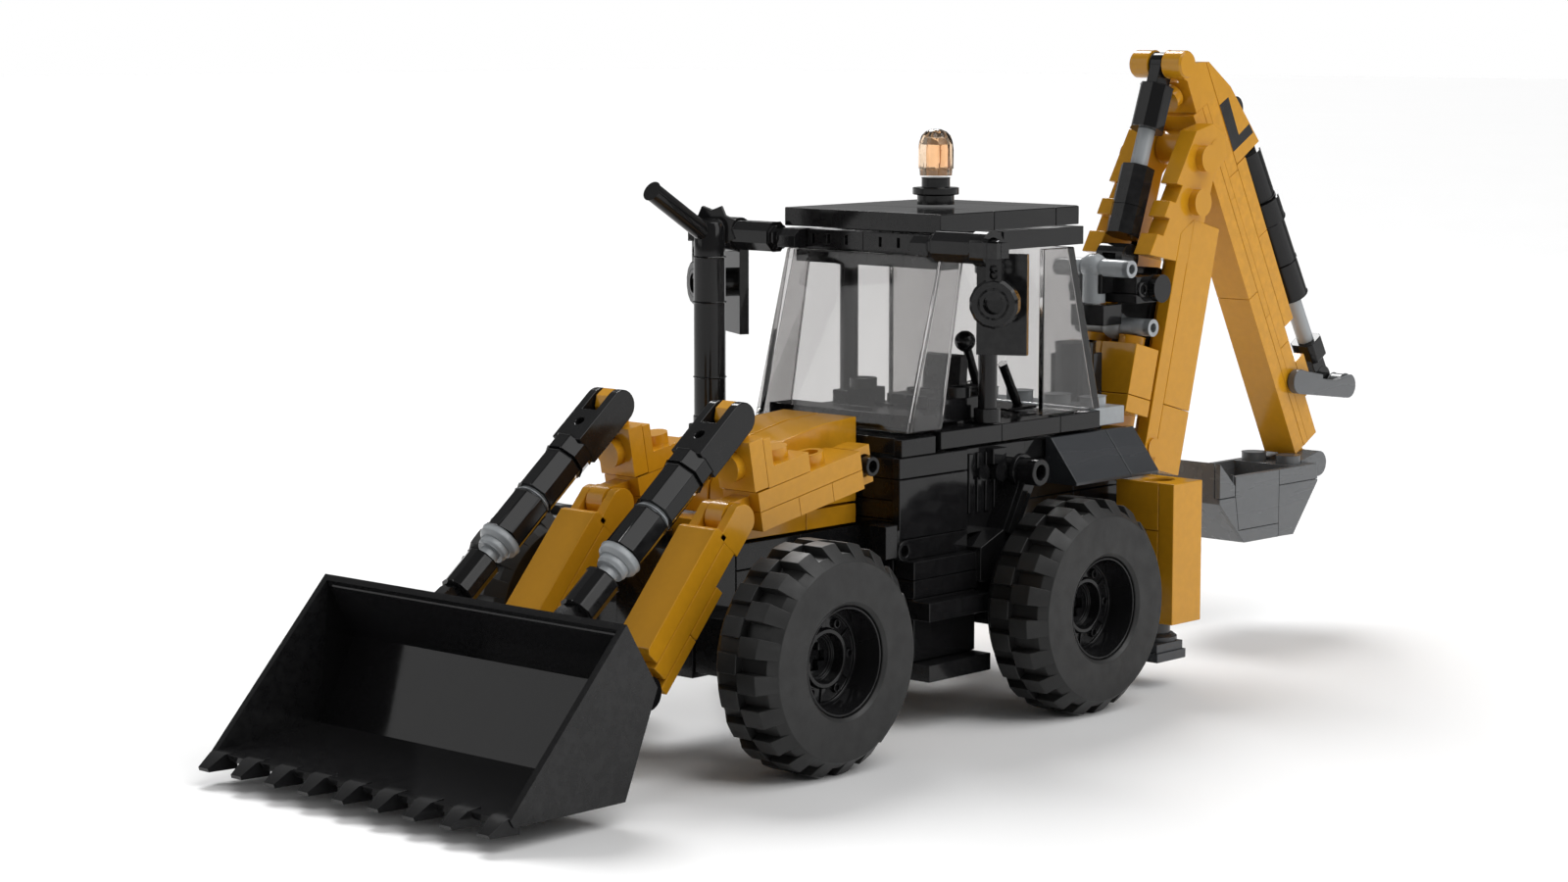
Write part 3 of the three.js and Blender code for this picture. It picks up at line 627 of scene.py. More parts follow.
def fender_shells():
    outline = [(15.9, 36.45), (22.85, 36.45), (22.85, 37.1), (17.2, 44.35), (15.9, 44.35)]
    return [prism_y(outline, 74.5, 89.9), prism_y(outline, 90, 98)]


def rear_deck_shells():
    floor = node_box("rear_deck")[0][2]
    top = floor + PLATE
    shells = [block(-16, 0, 88.7, 97, floor, top), block(0, 16, 88.7, 97, floor, top)]
    return shells + [stud("z", (x, 92.8, top)) for x in (-12, -4, 4, 12)]


LEG_AT = (25.6, 94.2)


def tower_shells():
    hole = rod("z", (*LEG_AT, 0), 10, 37, 2.8)
    sleeves = layers(19.5, 28.7, 90, 98.5, [11.3, 27.6, 36.1])
    return [cut(sleeve, hole) for sleeve in sleeves] + [
        block(28.7, 32, 90, 98.5, 11.3, 36.1), tube("z", (*LEG_AT, 0), 35.2, 35.9, 3.3, 2.5),
    ]


def leg_shells():
    """Round leg on a stepped foot."""
    at = (*LEG_AT, 0)
    return [
        rod("z", at, 7.5, 33, 2.4), rod("z", at, 32.9, 33, 1.9),
        lathe([(0, 7.6), (3.6, 7.6), (3.6, 8.5), (2.9, 9), (0, 9)], "z", at),
        block(22, 30, 88.6, 97, 4.6, 6.3), block(22.4, 29.6, 89, 96.6, 6.2, 7.8),
    ]


def build_body():
    piece("chassis_frame", chassis_shells(), "root", "black")
    pair("side_block", side_block_shells(), "root", "black")
    pair("hood", hood_shells(), "root", "yellow")
    piece("hood_base", hood_base_shells(), "root", "yellow")
    piece("cab_base", cab_base_shells(), "root", "black")
    pair("fender", fender_shells(), "root", "dark_grey")
    piece("rear_deck", rear_deck_shells(), "root", "light_grey")
    pair("stabiliser_tower", tower_shells(), "root", "yellow")
    pair("stabiliser_leg", leg_shells(), "leg_", "dark_grey")


# ------------------------ cab
CAB_X = node_box("windscreen")[1][0]
GLASS_LOW = node_box("windscreen")[0][2]
GLASS_TOP = node_box("windscreen")[1][2]


def glass_shells(front_low, front_top, back_top, back_low):
    wall = 1.1
    lean = 1 if back_low > front_low else -1
    over = 4
    outline = [
        (front_low, GLASS_LOW), (front_top, GLASS_TOP), (back_top, GLASS_TOP), (back_low, GLASS_LOW),
    ]
    outer = prism_x(outline, -CAB_X, CAB_X)
    rise = (front_top - front_low) / (GLASS_TOP - GLASS_LOW)
    inner = prism_x([
        (front_low + wall * lean - rise * over, GLASS_LOW - over),
        (front_top + wall * lean + rise * over, GLASS_TOP + over),
        (back_top + over * lean, GLASS_TOP + over), (back_low + over * lean, GLASS_LOW - over),
    ], -CAB_X + wall, CAB_X - wall)
    return [cut(outer, inner)]


ARM_AT = (0, 43.4, 78.8)     # bar that the mirrors swing on


def cab_frame_shells():
    low, high = GLASS_TOP + GAP, 80.4
    post = (15.4, 59.4, 0)
    slots = [block(x, x + 0.6, 44.9, 48.3, low + 0.8, high - 0.8, 0) for x in (3.5, 7.5, 11)]
    return both_sides([
        block(0, CAB_X, 61.1, 83, low, high), cut(block(0, 12.6, 45, 48.2, low, high), *slots),
        block(9.6, 12.9, 48, 61.5, low, high), rod("z", post, 48.3, low + 1, BAR_R),
        tube("z", post, 48.3, 50.6, 2.3, 1.5), tube("z", post, 73.4, 75.6, 2.3, 1.5),
        block(12.8, 17, 58.6, 61.2, low, high),
        block(0, CAB_X - 1.3, 46.3, 50.4, GLASS_TOP - 2.4, low + 0.1),
        block(12.8, 16.8, 45.4, 48.2, low, high),
        prism_x([(42, low), (46, low), (46, high), (43.2, high), (42, high - 1.2)], 12.8, 16.8),
        rod("x", ARM_AT, 16.6, 31.2, BAR_R),
        octagon("x", ARM_AT, 18.2, 26.3, 2.7), octagon("x", ARM_AT, 17.2, 18.2, 2.1),
    ])


def roof_shells():
    low, high = node_box("roof")
    front, rear = low[1] - FRONT_AXLE, high[1] - FRONT_AXLE
    z0, z1 = low[2], high[2]
    side = high[0]
    middle, back = front + 14, rear - 7.9
    seam = 0.03
    corner = 1.6
    plan = [
        (-side, back + SEAM), (side, back + SEAM), (side, rear - corner), (side - corner, rear),
        (corner - side, rear), (-side, rear - corner),
    ]
    return [
        block(-side, side, front, middle, z0, z1, seam), block(-side, side, middle, back, z0, z1, seam),
        prism_z(plan, z0 + seam, z1 - seam),
    ]


MIRROR_AT = (29.7, 45.6, 0)
MIRROR_YAW = 28


def mirror_shells():
    boss = (0, 0, 70.4)
    grooves = [rod("y", (0, 0, z), -9, -4, 0.7) for z in (76, 75)]
    rim = [(1.7, -8), (3.6, -8), (4.05, -7.5), (4.05, -5.4), (1.7, -5.4)]
    local = [
        cut(block(-4.2, 4.2, -0.9, 0.9, 61.5, 78), block(-3.4, 3.4, 0.5, 2, 62.3, 77.2)),
        rod("y", boss, -5.8, 0, 2.5), lathe(rim, "y", boss, 14), tube("y", boss, -8, -7.2, 2.6, 2.2),
        rod("y", boss, -6.4, -5.6, 1.75), cut(block(-1.3, 1.3, -7.8, -5.6, 71, 80.2), *grooves),
    ]
    shells = turned_about_z(local, MIRROR_YAW, MIRROR_AT)
    shells.append(tube("x", ARM_AT, 26.6, 29.4, 3, BORE_R))
    shells.append(block(28.6, 34.4, 38.2, 41.4, 77.6, 80.2))
    return shells


def leaning_bar(at, length, lean):
    turn = Matrix.Rotation(math.radians(lean), 4, "X")
    return moved([rod("z", (0, 0, 0), 0, length, 0.8, 20)], Matrix.Translation(at) @ turn)


def console_shells():
    floor = GLASS_LOW
    back = [(65, 51), (67.2, 51), (67.6, 57.4), (66.9, 58.4), (65.6, 58.2)]
    shells = [
        block(-12, 12, 48.4, 51.6, floor, 50.4),
        block(1.4 - CAB_X, CAB_X - 1.4, 39.4, 45.2, floor + 0.05, floor + 2.6),
        block(-4.4, 4.4, 56, 65, floor, 50.2), block(-4.2, 4.2, 56.4, 65.2, 50.2, 52),
        block(-1.5, 1.5, 51.4, 56.2, floor, 50), block(-9, 9, 58, 61, floor, 50),
        block(-1, 1, 66, 74, floor, 49.2), block(-4, 9, 73, 81, floor, 48.9),
        tube("z", (0, 60.5, 0), 52, 52.8, 2.4, 1.6), prism_x(back, -4.4, 4.4),
    ]
    shells += both_sides([
        block(8.6, 12.2, 51.4, 61.4, floor, 52.4), stud("z", (10.4, 57.5, 52.4), hollow=True),
    ])
    return shells + leaning_bar((6, 79.4, 48.6), 9, 30)


def lever_shells():
    foot = (0, 75.8, 50.9)
    return leaning_bar((0, 75.7, 51.4), 9.4, 23) + [
        ball((0, 72, 60.1), 1.85), rod("x", foot, -2, 2, 1.75), tube("x", foot, -1.1, 1.1, 2, 1.2),
    ]


BEACON_Y = node_middle("beacon_base")[1] - FRONT_AXLE


def beacon_base_shells():
    profile = [
        (0, 84.2), (3.2, 84.2), (3.2, 85.9), (4.0, 85.9), (4.0, 87.1), (2.45, 87.1), (2.45, 88.8), (0, 88.8),
    ]
    return [lathe(profile, "z", (0, BEACON_Y, 0))]


def beacon_globe_shells():
    """A clear ribbed dome, open inside."""
    sides = 48
    ribs = 8
    rib_depth = 0.1
    collar_top = 90.3
    profile = [
        (2.75, 89.15), (2.85, 90.2), (3.15, 90.4), (3.15, 93.6), (3.0, 94.8), (2.6, 95.9), (1.9, 96.6),
        (0.9, 97.0),
    ]
    verts = []
    for r, z in profile:
        for k in range(sides):
            a = 2 * math.pi * k / sides
            depth = rib_depth if z > collar_top else 0
            flute = 1 - depth * (0.5 + 0.5 * math.cos(a * ribs))
            verts.append((r * flute * math.cos(a), BEACON_Y + r * flute * math.sin(a), z))
    faces = []
    for i in range(len(profile) - 1):
        for k in range(sides):
            m = (k + 1) % sides
            faces.append((i * sides + k, i * sides + m, (i + 1) * sides + m, (i + 1) * sides + k))
    last = (len(profile) - 1) * sides
    faces += [tuple(range(sides)), tuple(range(last + sides - 1, last - 1, -1))]
    outer = oriented(verts, faces)
    inner = lathe([(0, 88), (2.3, 88), (2.3, 94.4), (1.7, 95.4), (0, 95.4)], "z", (0, BEACON_Y, 0), 8)
    return [cut(outer, inner)]


STACK_AT = (-20.6, 29.4)
PIPE_TILT = 59
HOLDER_YAW = 36


def exhaust_shells():
    x, y = STACK_AT
    at = (x, y, 0)
    turn = Matrix.Rotation(math.radians(PIPE_TILT), 4, "X")
    shells = moved([rod("z", (0, 0, 0), -2.5, 13.4, BAR_R)], Matrix.Translation((x, 27.2, 80.6)) @ turn)
    gear = []
    for k in range(16):
        a = math.pi * k / 8
        r = 4.3 if k % 2 else 3.3
        gear.append((r * math.cos(a), r * math.sin(a)))
    shells += turned_about_z([prism_y(gear, 2.2, 4.4)], HOLDER_YAW, (x, y, 80.4))
    edges = [47.6, 55.7, 68.4, 76.0]
    shells += [rod("z", at, low + SEAM, high - SEAM, 2.7) for low, high in zip(edges, edges[1:])]
    shells += [
        lathe([(0, 76.05), (2.6, 76.05), (2.6, 81), (2.3, 81.8), (1.6, 82.4), (0, 82.5)], "z", at),
        block(x - 2.9, -17.9, 27, 33.5, 44.8, 47.8), block(x - 2.9, -17.9, 33.5, 40, 44.8, 47.8),
        tube("z", at, 47.7, 49.2, 2.85, 2.5),
    ]
    return shells


def build_cab():
    piece("windscreen", glass_shells(36.9, 45, 50.8, 45.4), "root", "smoke_clear", edge=0.25)
    piece("rear_window", glass_shells(88.2, 80.4, 72, 72), "root", "smoke_clear", edge=0.25)
    piece("cab_frame", cab_frame_shells(), "root", "black")
    piece("roof", roof_shells(), "root", "black")
    pair("mirror", mirror_shells(), "mirror_", "black", edge=0.12)
    piece("seat_console", console_shells(), "root", "black")
    piece("drive_lever", lever_shells(), "drive_lever", "black")
    piece("beacon_base", beacon_base_shells(), "root", "black")
    piece("beacon_globe", beacon_globe_shells(), "root", "amber_clear", edge=0.1)
    piece("exhaust_stack", exhaust_shells(), "root", "black")


# ------------------------ front loader
ARM_X = 13.3
ARM_HALF = 3.9
X0, X1 = ARM_X - ARM_HALF, ARM_X + ARM_HALF
LIFT = pivot("loader_lift")
UPPER_TILT = 10.4
LOWER_TILT = 49
BUCKET_PIVOT_U = -32
BUCKET_PIVOT = pivot("bucket_tilt")
ELBOW = along(BUCKET_PIVOT, LOWER_TILT, -BUCKET_PIVOT_U)
TILT_EAR = pivot("tilt_cylinder_swing")
TILT_SLOPE = 38.8


def round_end(length, r):
    """A bar seen from the side, from -length to a round end about the origin."""
    return [(-length, -r), (0, -r)] + arc(r, -75, 75, 10) + [(0, r), (-length, r)]


def upper_arm_shells():
    bore = rod("x", (0, 0, 0), 0, 20, BORE_R)
    slot = block(0, 20, 0, 4, -1.3, 1.3, 0)
    step = [
        (-23.95, 3.25), (-14.15, 3.25), (-14.15, 6.4), (-22.3, 6.4), (-22.3, 11.1), (-23.95, 11.1),
    ]
    ear = [(-28.2, 11), (-24.4, 11), (-24, 15.4)] + arc(2.45, 0, 180, 4, (-26.5, 15.4))
    return [
        block(X0, X1, -26.6, -17.6, -PLATE, 0), block(X0, X1, -17.6, -9.6, -PLATE, 0),
        block(X0, X1, -9.6, -2.1, -PLATE, 0), block(X0, X1, -26.6, -2.1, 0, PLATE),
        cut(block(ARM_X - 2.4, ARM_X + 2.4, -2, 1.8, -PLATE, PLATE), bore, slot),
        block(X0, X1, -27.2, -24, 3.4, 11.5), prism_x(step, X0 + SEAM, X1 - SEAM),
        stud("y", (ARM_X, -27.2, 7.5), -1), stud("z", (ARM_X, -18.2, 6.4)),
        stud("z", (ARM_X, -10.1, PLATE), hollow=True), prism_x(ear, ARM_X - 1.25, ARM_X + 1.25),
        block(ARM_X - 1.8, ARM_X + 1.8, -30.7, -26.2, -2.6, 2.6),
        rod("x", (0, -30.7, 0), ARM_X - 1.8, ARM_X + 1.8, 2.7),
    ]


def lower_arm_shells():
    lug = [(-5, -2.6), (0, -2.6)] + arc(2.7, -75, 75, 10) + [(0, 2.6), (-5, 2.6)]
    tile = [(-27.4, 1.3), (-27.4, 3.7), (-26.7, 4.35), (-4.6, 4.35), (-3.9, 3.7), (-3.9, 1.3)]
    return [
        prism_x(lug, X0, ARM_X - 2.1), prism_x(lug, ARM_X + 2.1, X1), prism_x(tile, X0, X1),
        block(X0, X1, -28.4, -4.4, -1.9, 1.25),
        block(X0, X1, -30, -20, -3.7, -1.9), block(X0, X1, -20, -11, -3.7, -1.9),
        block(ARM_X - 1.8, ARM_X + 1.8, BUCKET_PIVOT_U, -27, -2.6, 1.2),
        rod("x", (0, BUCKET_PIVOT_U, 0), ARM_X - 1.8, ARM_X + 1.8, 2.7),
    ]


def lift_pin_shells():
    end = X1 + 0.4
    middle = (0, 0, 0)
    return both_sides([
        tube("x", middle, 12, end, BAR_R, 0.95), rod("x", middle, 0, 12.2, BAR_R),
        rod("x", middle, 12, end - 2.6, 1.0),
    ])


BUCKET_LOW, BUCKET_HIGH = node_box("loader_bucket")
BUCKET_HALF = BUCKET_HIGH[0]
WALL = 1.2
TEETH = 9


def tooth_shell(x):
    """A wedge that narrows towards its tip."""
    back, tip = -65.3, BUCKET_LOW[1] - FRONT_AXLE + 0.05
    section = [
        (back, 2.35, 2.0), (back, 5.1, 2.0), (-67.6, 4.7, 1.7), (tip, 2.9, 1.15), (tip + 0.2, 2.35, 1.2),
    ]
    return loft([[(x + w * turn, y, z) for y, z, w in section] for turn in (-1, 1)])


def loader_bucket_shells():
    outer = [(-44.1, 29.35), (-42.7, 27), (-37.9, 19.3), (-44.6, 3.45), (-66.4, 3.45), (-67.1, 4.6)]
    inner = [
        (-46.4, 32), (-44.4, 27.6), (-39.3, 19.0), (-45.2, 8.4), (-46.6, 6.2), (-66.9, 4.8), (-75, 4.8),
        (-75, 32),
    ]
    half = BUCKET_HALF - 0.02
    scoop = cut(prism_x(outer, -half, half), prism_x(inner, WALL - half, half - WALL))
    rib = [(-44.6, 27.6), (-44.1, 29.3), (-43, 27.3)]
    shells = [scoop, prism_x(rib, -half + 0.4, half - 0.4)]
    pitch = (2 * BUCKET_HALF - 4.4) / (TEETH - 1)
    shells += [tooth_shell(-BUCKET_HALF + 2.2 + k * pitch) for k in range(TEETH)]
    y, z = BUCKET_PIVOT
    cheek = [(-38.8, 19), (-42.6, 9), (y - 1.5, z - 2.6), (y, z + 2.7)]
    side = []
    for a, b in ((X0 - 0.2, ARM_X - 2.1), (ARM_X + 2.1, X1 + 0.2)):
        side += [prism_x(cheek, a, b), rod("x", (0, y, z), a, b, 2.7)]
    ear = [(-42.4, 25.4), (-38.6, 19), (-34.2, 24.6), (-33.2, 27.4), (-35, 29.2), (-37.2, 28.6)]
    side.append(prism_x(ear, ARM_X - 1.1, ARM_X + 1.1))
    return shells + both_sides(side)


TILT_LINE = (ARM_X, 0, 0)


def tilt_barrel_shells():
    """Fork, collar and two ribbed barrels, drawn along -Y from the ear pivot."""
    slot = block(ARM_X - 1.6, ARM_X + 1.6, -3.7, 5, -4, 4, 0)
    hole = rod("z", (ARM_X, -6.4, 0), 0.5, 4, 0.85)
    bore = rod("y", TILT_LINE, -31, -14, BORE_R)
    return [
        cut(prism_x(round_end(10.4, 2.65), ARM_X - 3.15, ARM_X + 3.15), slot, hole),
        octagon("y", TILT_LINE, -13.1, -10.2, 3.55), octagon("y", TILT_LINE, -14, -12.9, 3.0),
        cut(octagon("y", TILT_LINE, -21.4, -13.5, 3.35), bore),
        cut(octagon("y", TILT_LINE, -30.2, -22.5, 3.25), bore),
    ]


def tilt_ring_shells():
    return [tube("y", TILT_LINE, -22.6, -21.3, 2.7, BORE_R), tube("y", TILT_LINE, -22.1, -21.8, 3, 2)]


def tilt_rod_shells():
    wide = [(0, -32.2), (2.6, -32.2), (3.35, -31.6), (3.35, -30.6), (0, -30.6)]
    narrow = [(0, -33.6), (2.1, -33.6), (2.5, -33.1), (2.5, -32), (0, -32)]
    return [rod("y", TILT_LINE, -36, -19, BAR_R), lathe(wide, "y", TILT_LINE), lathe(narrow, "y", TILT_LINE)]


def tilt_end_shells():
    slot = block(ARM_X - 1.4, ARM_X + 1.4, -50, -37.4, -4, 1.4, 0)
    return [cut(rod("y", TILT_LINE, -42.4, -35.5, 2.85, 12, 0.5), slot)]


def build_loader():
    upper = place(LIFT, UPPER_TILT)
    lower = place(ELBOW, LOWER_TILT)
    cylinder = place(TILT_EAR, TILT_SLOPE)
    pair("upper_arm", upper_arm_shells(), "loader_arms", "yellow", upper)
    piece("lift_pin", lift_pin_shells(), "loader_arms", "black", upper, 0.1)
    pair("lower_arm", lower_arm_shells(), "loader_arms", "yellow", lower)
    piece("loader_bucket", loader_bucket_shells(), "loader_bucket", "black", edge=0.2)
    pair("tilt_barrel", tilt_barrel_shells(), "tilt_barrels", "black", cylinder)
    pair("tilt_rod", tilt_rod_shells(), "tilt_rods", "light_grey", cylinder)
    ring, end = tilt_ring_shells(), tilt_end_shells()
    for side, turned in (("left", list), ("right", mirrored)):
        make(f"tilt_ring_{side}", turned(ring), "tilt_barrels", "light_grey", cylinder)
        make(f"tilt_rod_end_{side}", turned(end), "tilt_rods", "black", cylinder)


# ------------------------ rear digging arm
POST_Y = pivot("backhoe_swing")[0]
BOOM = pivot("boom_hinge")
BOOM_LEAN = -14.7
STICK = pivot("stick_hinge")
STICK_TILT = 28.1
STICK_HALF = 3.7
STICK_FRONT, STICK_REAR = 1.4, 9.4
STICK_END = -69.4
BEAM_IN, BEAM_OUT = 4.0, 7.9
DIPPER_LOW = pivot("dipper_cylinder_swing")
DIPPER_TOP = (128.5, 107.5)
CURL_TOP = pivot("curl_cylinder_swing")
CURL_LOW = (181.5, 45.5)
LINK = pivot("bucket_link_swing")
SCOOP = pivot("bucket_curl")
SCOOP_HALF = 8


def swing_post_shells():
    at = (0, POST_Y, 0)
    h = STICK_HALF
    pin = rod("z", at, 28, 37, BORE_R)
    cross = rod("x", (0, *BOOM), -9, 9, BORE_R)
    return [
        cut(rod("z", at, 29.5, 37.4, 3.8), pin), rod("z", at, 37.5, 58, 3.75),
        tube("z", at, 56.8, 58, 3.8, 2.2),
        block(-h, h, 100.4, 106.6, 44, 47.2), block(-h, h, 100.4, 106.6, 47.2, 56),
        cut(block(-h, h, POST_Y + 3, BOOM[0], 33, 41.4), cross),
        cut(rod("x", (0, *BOOM), SEAM - h, h - SEAM, 3.15), cross),
    ]


def boom_beam_shells():
    head = inside(STICK, BOOM, BOOM_LEAN)
    plate = [
        (-10.5, 33.8), (-9.2, 38), (-7.4, 38), (-6.4, 41.4), (-8, 41.4), (-7.07, 44.6), (-5.3, 44.6),
        (-4.2, 48), (-6, 48), (-2.6, 58.7), (2, 61.15), (6.4, 60.35), (8, 56.4), (5, 52), (4.4, 43.1),
        (1.2, 34.5),
    ]
    strip = [(-2.4, -3.75), (0.95, -3.75), (0.95, 42.9), (-2.4, 39.6)]
    rounded = cut(prism_x(strip, BEAM_IN, BEAM_OUT), block(BEAM_IN - 1, BEAM_IN + 1.4, -3, -1.2, -5, 42, 0))
    face = BEAM_OUT - 0.1
    return [
        block(BEAM_IN, BEAM_OUT, 1, 9.35, -3.8, 8.3), block(BEAM_IN, BEAM_OUT, 1, 9.35, 8.3, 42.9), rounded,
        prism_x(plate, BEAM_IN, face), stud("x", (face, 0.6, 54.2)), stud("x", (face, 0.7, 46)),
        rod("x", (0, 0, 0), 0.2, BEAM_OUT + 0.35, BAR_R), rod("x", (0, *head), 0.2, BEAM_OUT, BAR_R),
    ]


def boom_foot_shells():
    return [
        block(-BEAM_OUT, BEAM_OUT, -10.1, -3, 5, 8.2), block(-BEAM_OUT, 0, -10.1, -3, 8.2, 17.6),
        block(0, BEAM_OUT, -10.1, -3, 8.2, 17.6), block(-STICK_HALF, STICK_HALF, -3, 9, 8, 17.6),
        stud("z", (-4, -6.6, 17.5)), stud("z", (4, -6.6, 17.5)),
    ]


def boom_hub_shells():
    lean = math.radians(BOOM_LEAN)
    filler = []
    for u, v in ((-2.3, 17.8), (6.5, 17.8), (6.5, 33), (-2.3, 33)):
        y = BOOM[0] + u * math.cos(lean) - v * math.sin(lean)
        filler.append((y, BOOM[1] + u * math.sin(lean) + v * math.cos(lean)))
    inner = BEAM_IN - 0.1
    half = [stud("x", (7.8, 116.6, 67.2)), tube("x", (0, 112.6, 67.2), 7.7, 8.2, 1.4, 0.8, 20)]
    return both_sides(half) + [
        block(-7.8, 7.8, 111, 119.6, 64.6, 66.4), block(-7.8, 7.8, 111, 119.6, 66.4, 69.6),
        block(-1.2, 1.2, 113.6, 117.2, 69, DIPPER_LOW[1]), rod("x", (0, *DIPPER_LOW), -1.2, 1.2, 2.15),
        prism_x(filler, -inner, inner), block(-inner, inner, 106.4, 112, 60.6, 64.5),
        block(-2.6, 2.6, 107.4, 113.8, 66.3, 71),
    ]


def tee_shells(y, z, drop):
    at = (0, y, z)
    shells = both_sides([tube("x", at, 2, 8.55, BAR_R, 0.85), tube("x", at, 7.2, 8.6, BAR_R, 0.85)])
    shells += [
        rod("x", at, -7, 7, 0.95), rod("x", at, -2.2, 2.2, BAR_R), ball(at, 2.55),
        rod("z", (0, y, 0), z - drop, z - 0.4, 2.1),
    ]
    if drop > 2:
        shells.append(rod("z", (0, y, 0), z - drop - 0.02, z - drop + 1.4, 1.7))
    return shells


def stick_shells():
    front, rear = STICK_FRONT, STICK_REAR
    top = inside(DIPPER_TOP, STICK, STICK_TILT)
    ear = inside(CURL_TOP, STICK, STICK_TILT)
    link = inside(LINK, STICK, STICK_TILT)
    scoop = inside(SCOOP, STICK, STICK_TILT)
    h = STICK_HALF
    top_slot = block(-1.6, 1.6, top[0] - 5, top[0] + 5.4, top[1] - 4.4, top[1] + 5, 0)
    ear_slot = block(-1.7, 1.7, ear[0] - 3.4, ear[0] + 9, ear[1] - 12, ear[1] + 3, 0)
    link_bore = rod("x", (0, *link), -8, 8, BORE_R)
    pivot_bore = rod("x", (0, 0, 0), -8, 8, BORE_R)
    crown = 12.6
    strip = 3.2
    head = [
        (top[0] - 2.5, top[1]), (top[0] + 1, top[1] - 4), (front + 1, 6), (rear - 0.1, 6),
        (rear - 0.1, crown + 0.5), (rear - 4, crown + 2.2), (top[0] + 2.5, top[1] + 1),
    ]
    wedge = [
        (rear + 0.05, crown + 0.3), (rear + 0.8, crown), (rear + 4.8, 5.2), (rear + 8.3, -8.55),
        (rear + 0.05, -8.85),
    ]
    shells = [cut(prism_x(head, -h, h), top_slot, ear_slot)]
    for low, high in ((STICK_END, -40), (-40, -14), (-14, 6)):
        core = block(-h, h, front + strip, rear - strip, low, high, 0.02)
        shells.append(cut(core, ear_slot, link_bore, top_slot))
    for low, high in ((STICK_END, -34), (-34, 6)):
        shells.append(cut(block(-h, h, front, front + strip, low, high), link_bore, ear_slot))
    for low, high in ((STICK_END, -48), (-48, -10), (-10, crown)):
        shells.append(cut(block(-h, h, rear - strip, rear, low, high), link_bore, ear_slot, top_slot))
    shells += [
        cut(block(-h, h, rear, rear + PLATE, -45, -25), ear_slot),
        block(-h, h, rear, rear + PLATE, -25, -9), block(-h, h, rear, rear + PLATE, -61, -53),
        cut(rod("x", (0, 0, 0), SEAM - h, h - SEAM, 3.2), pivot_bore),
        cut(block(-h, h, 0, front + 1, -3, 3), pivot_bore), rod("x", (0, *scoop), -1.4, 1.4, 2.45),
        block(-1.4, 1.4, front + 1, scoop[0] + 1.6, scoop[1], STICK_END + 1),
        stud("y", (0, front, 10.2), -1), cut(prism_x(wedge, -h, h), ear_slot),
    ]
    disc = [(0, 1.65), (2.55, 1.65), (2.55, 5.5), (2.2, 5.85), (0, 5.85)]
    return shells + both_sides([lathe(disc, "x", (0, *top))])


def stripe_shells():
    """A plain angled stripe on each side of the stick's rear wedge."""
    rear = STICK_REAR
    outline = [
        (rear + 0.1, 3.8), (rear + 3.2, 3.8), (rear + 3.0, -4.2), (rear + 6.9, -4.0), (rear + 7.3, -6.1),
        (rear + 0.1, -6.2),
    ]
    return both_sides([prism_x(outline, STICK_HALF - 0.3, STICK_HALF + 0.04)])


def dipper_barrel_shells():
    """Fork and two barrels, drawn along +Y from the lower pivot."""
    middle, length, r = 9.46, 17.2, 3.2
    at = (0, 0, 0)
    slot = block(-1.5, 1.5, -4, 0, -4, 4, 0)
    socket = rod("x", at, -1.5, 1.5, 2.45)
    bore = rod("y", at, 6, length + 1, BORE_R)
    return [
        cut(block(-3, 3, 0, 4.2, -2.6, 2.6), socket), cut(rod("x", at, -3, 3, 2.55), slot, socket),
        cut(octagon("y", at, 4, middle - SEAM, r), bore),
        cut(octagon("y", at, middle + SEAM, length, r), bore),
    ]


def cylinder_rod_shells(start, end_block):
    return [rod("y", (0, 0, 0), start, end_block + 2, BAR_R)]


def rod_end_shells(half, end_block, reach):
    """Eye at the end of a cylinder rod, with a tongue that reaches into the end block."""
    eye = rod("x", (0, reach, 0), -half, half, 2.15)
    return [eye, block(-half, half, end_block + 2, reach, -2, 2)]


def dipper_end_shells(end_block, reach):
    return [octagon("y", (0, 0, 0), end_block, reach - 4.4, 3.15)] + rod_end_shells(1.3, end_block, reach)


def curl_barrel_shells():
    """Eye, neck, collar and two barrels, drawn along +Y from the upper pivot."""
    at = (0, 0, 0)
    neck, length, r = 9.4, 42.4, 3.1
    bore = rod("y", at, 8, length + 1, BORE_R)
    shells = [rod("x", at, -1.4, 1.4, 2.15), block(-1.4, 1.4, 0, neck + 0.2, -2, 2)]
    parts = (
        (neck, 19.8, r), (20, 25, r + 0.6), (25.2, 34.2, r + 0.2), (34.4, length, r + 0.2), (19, 36, r - 0.4),
    )
    return shells + [cut(rod("y", at, low, high, radius), bore) for low, high, radius in parts]


def curl_end_shells(end_block, reach):
    section = [
        (2.6, 1.6), (1.8, 2.4), (-1.8, 2.4), (-2.6, 1.6), (-2.6, -1.6), (-1.8, -2.4), (1.8, -2.4),
        (2.6, -1.6),
    ]
    return [prism_y(section, end_block, reach - 4.7)] + rod_end_shells(1.4, end_block, reach)


def link_shells():
    """Two cheeks with round ends, a bar at each end, and a step in the top edge."""
    far = 17.0
    r = 2.4
    cheek = arc(r, 270, 90, 10)
    cheek += [(2.2, 2.1), (7.6, 1.7), (7.6, 0.9), (12.6, 0.7), (far - 1.2, 1.6)]
    cheek += arc(r, 72, -90, 9, (far, -0.2))
    web = [(9.8, -2.2), (far, -2.4), (far, 1.2), (13, 0.5), (9.8, 0.6)]
    half = [
        prism_x(cheek, 4.05, 5.55), rod("x", (0, 0, 0), 0, 5, BAR_R),
        rod("x", (0, far, -0.2), 1.8, 4.5, 2.3), prism_x(web, 1.75, 4.5),
    ]
    return both_sides(half) + [block(-2, 2, far - 0.1, far + 1.9, -2.2, 1.6)]


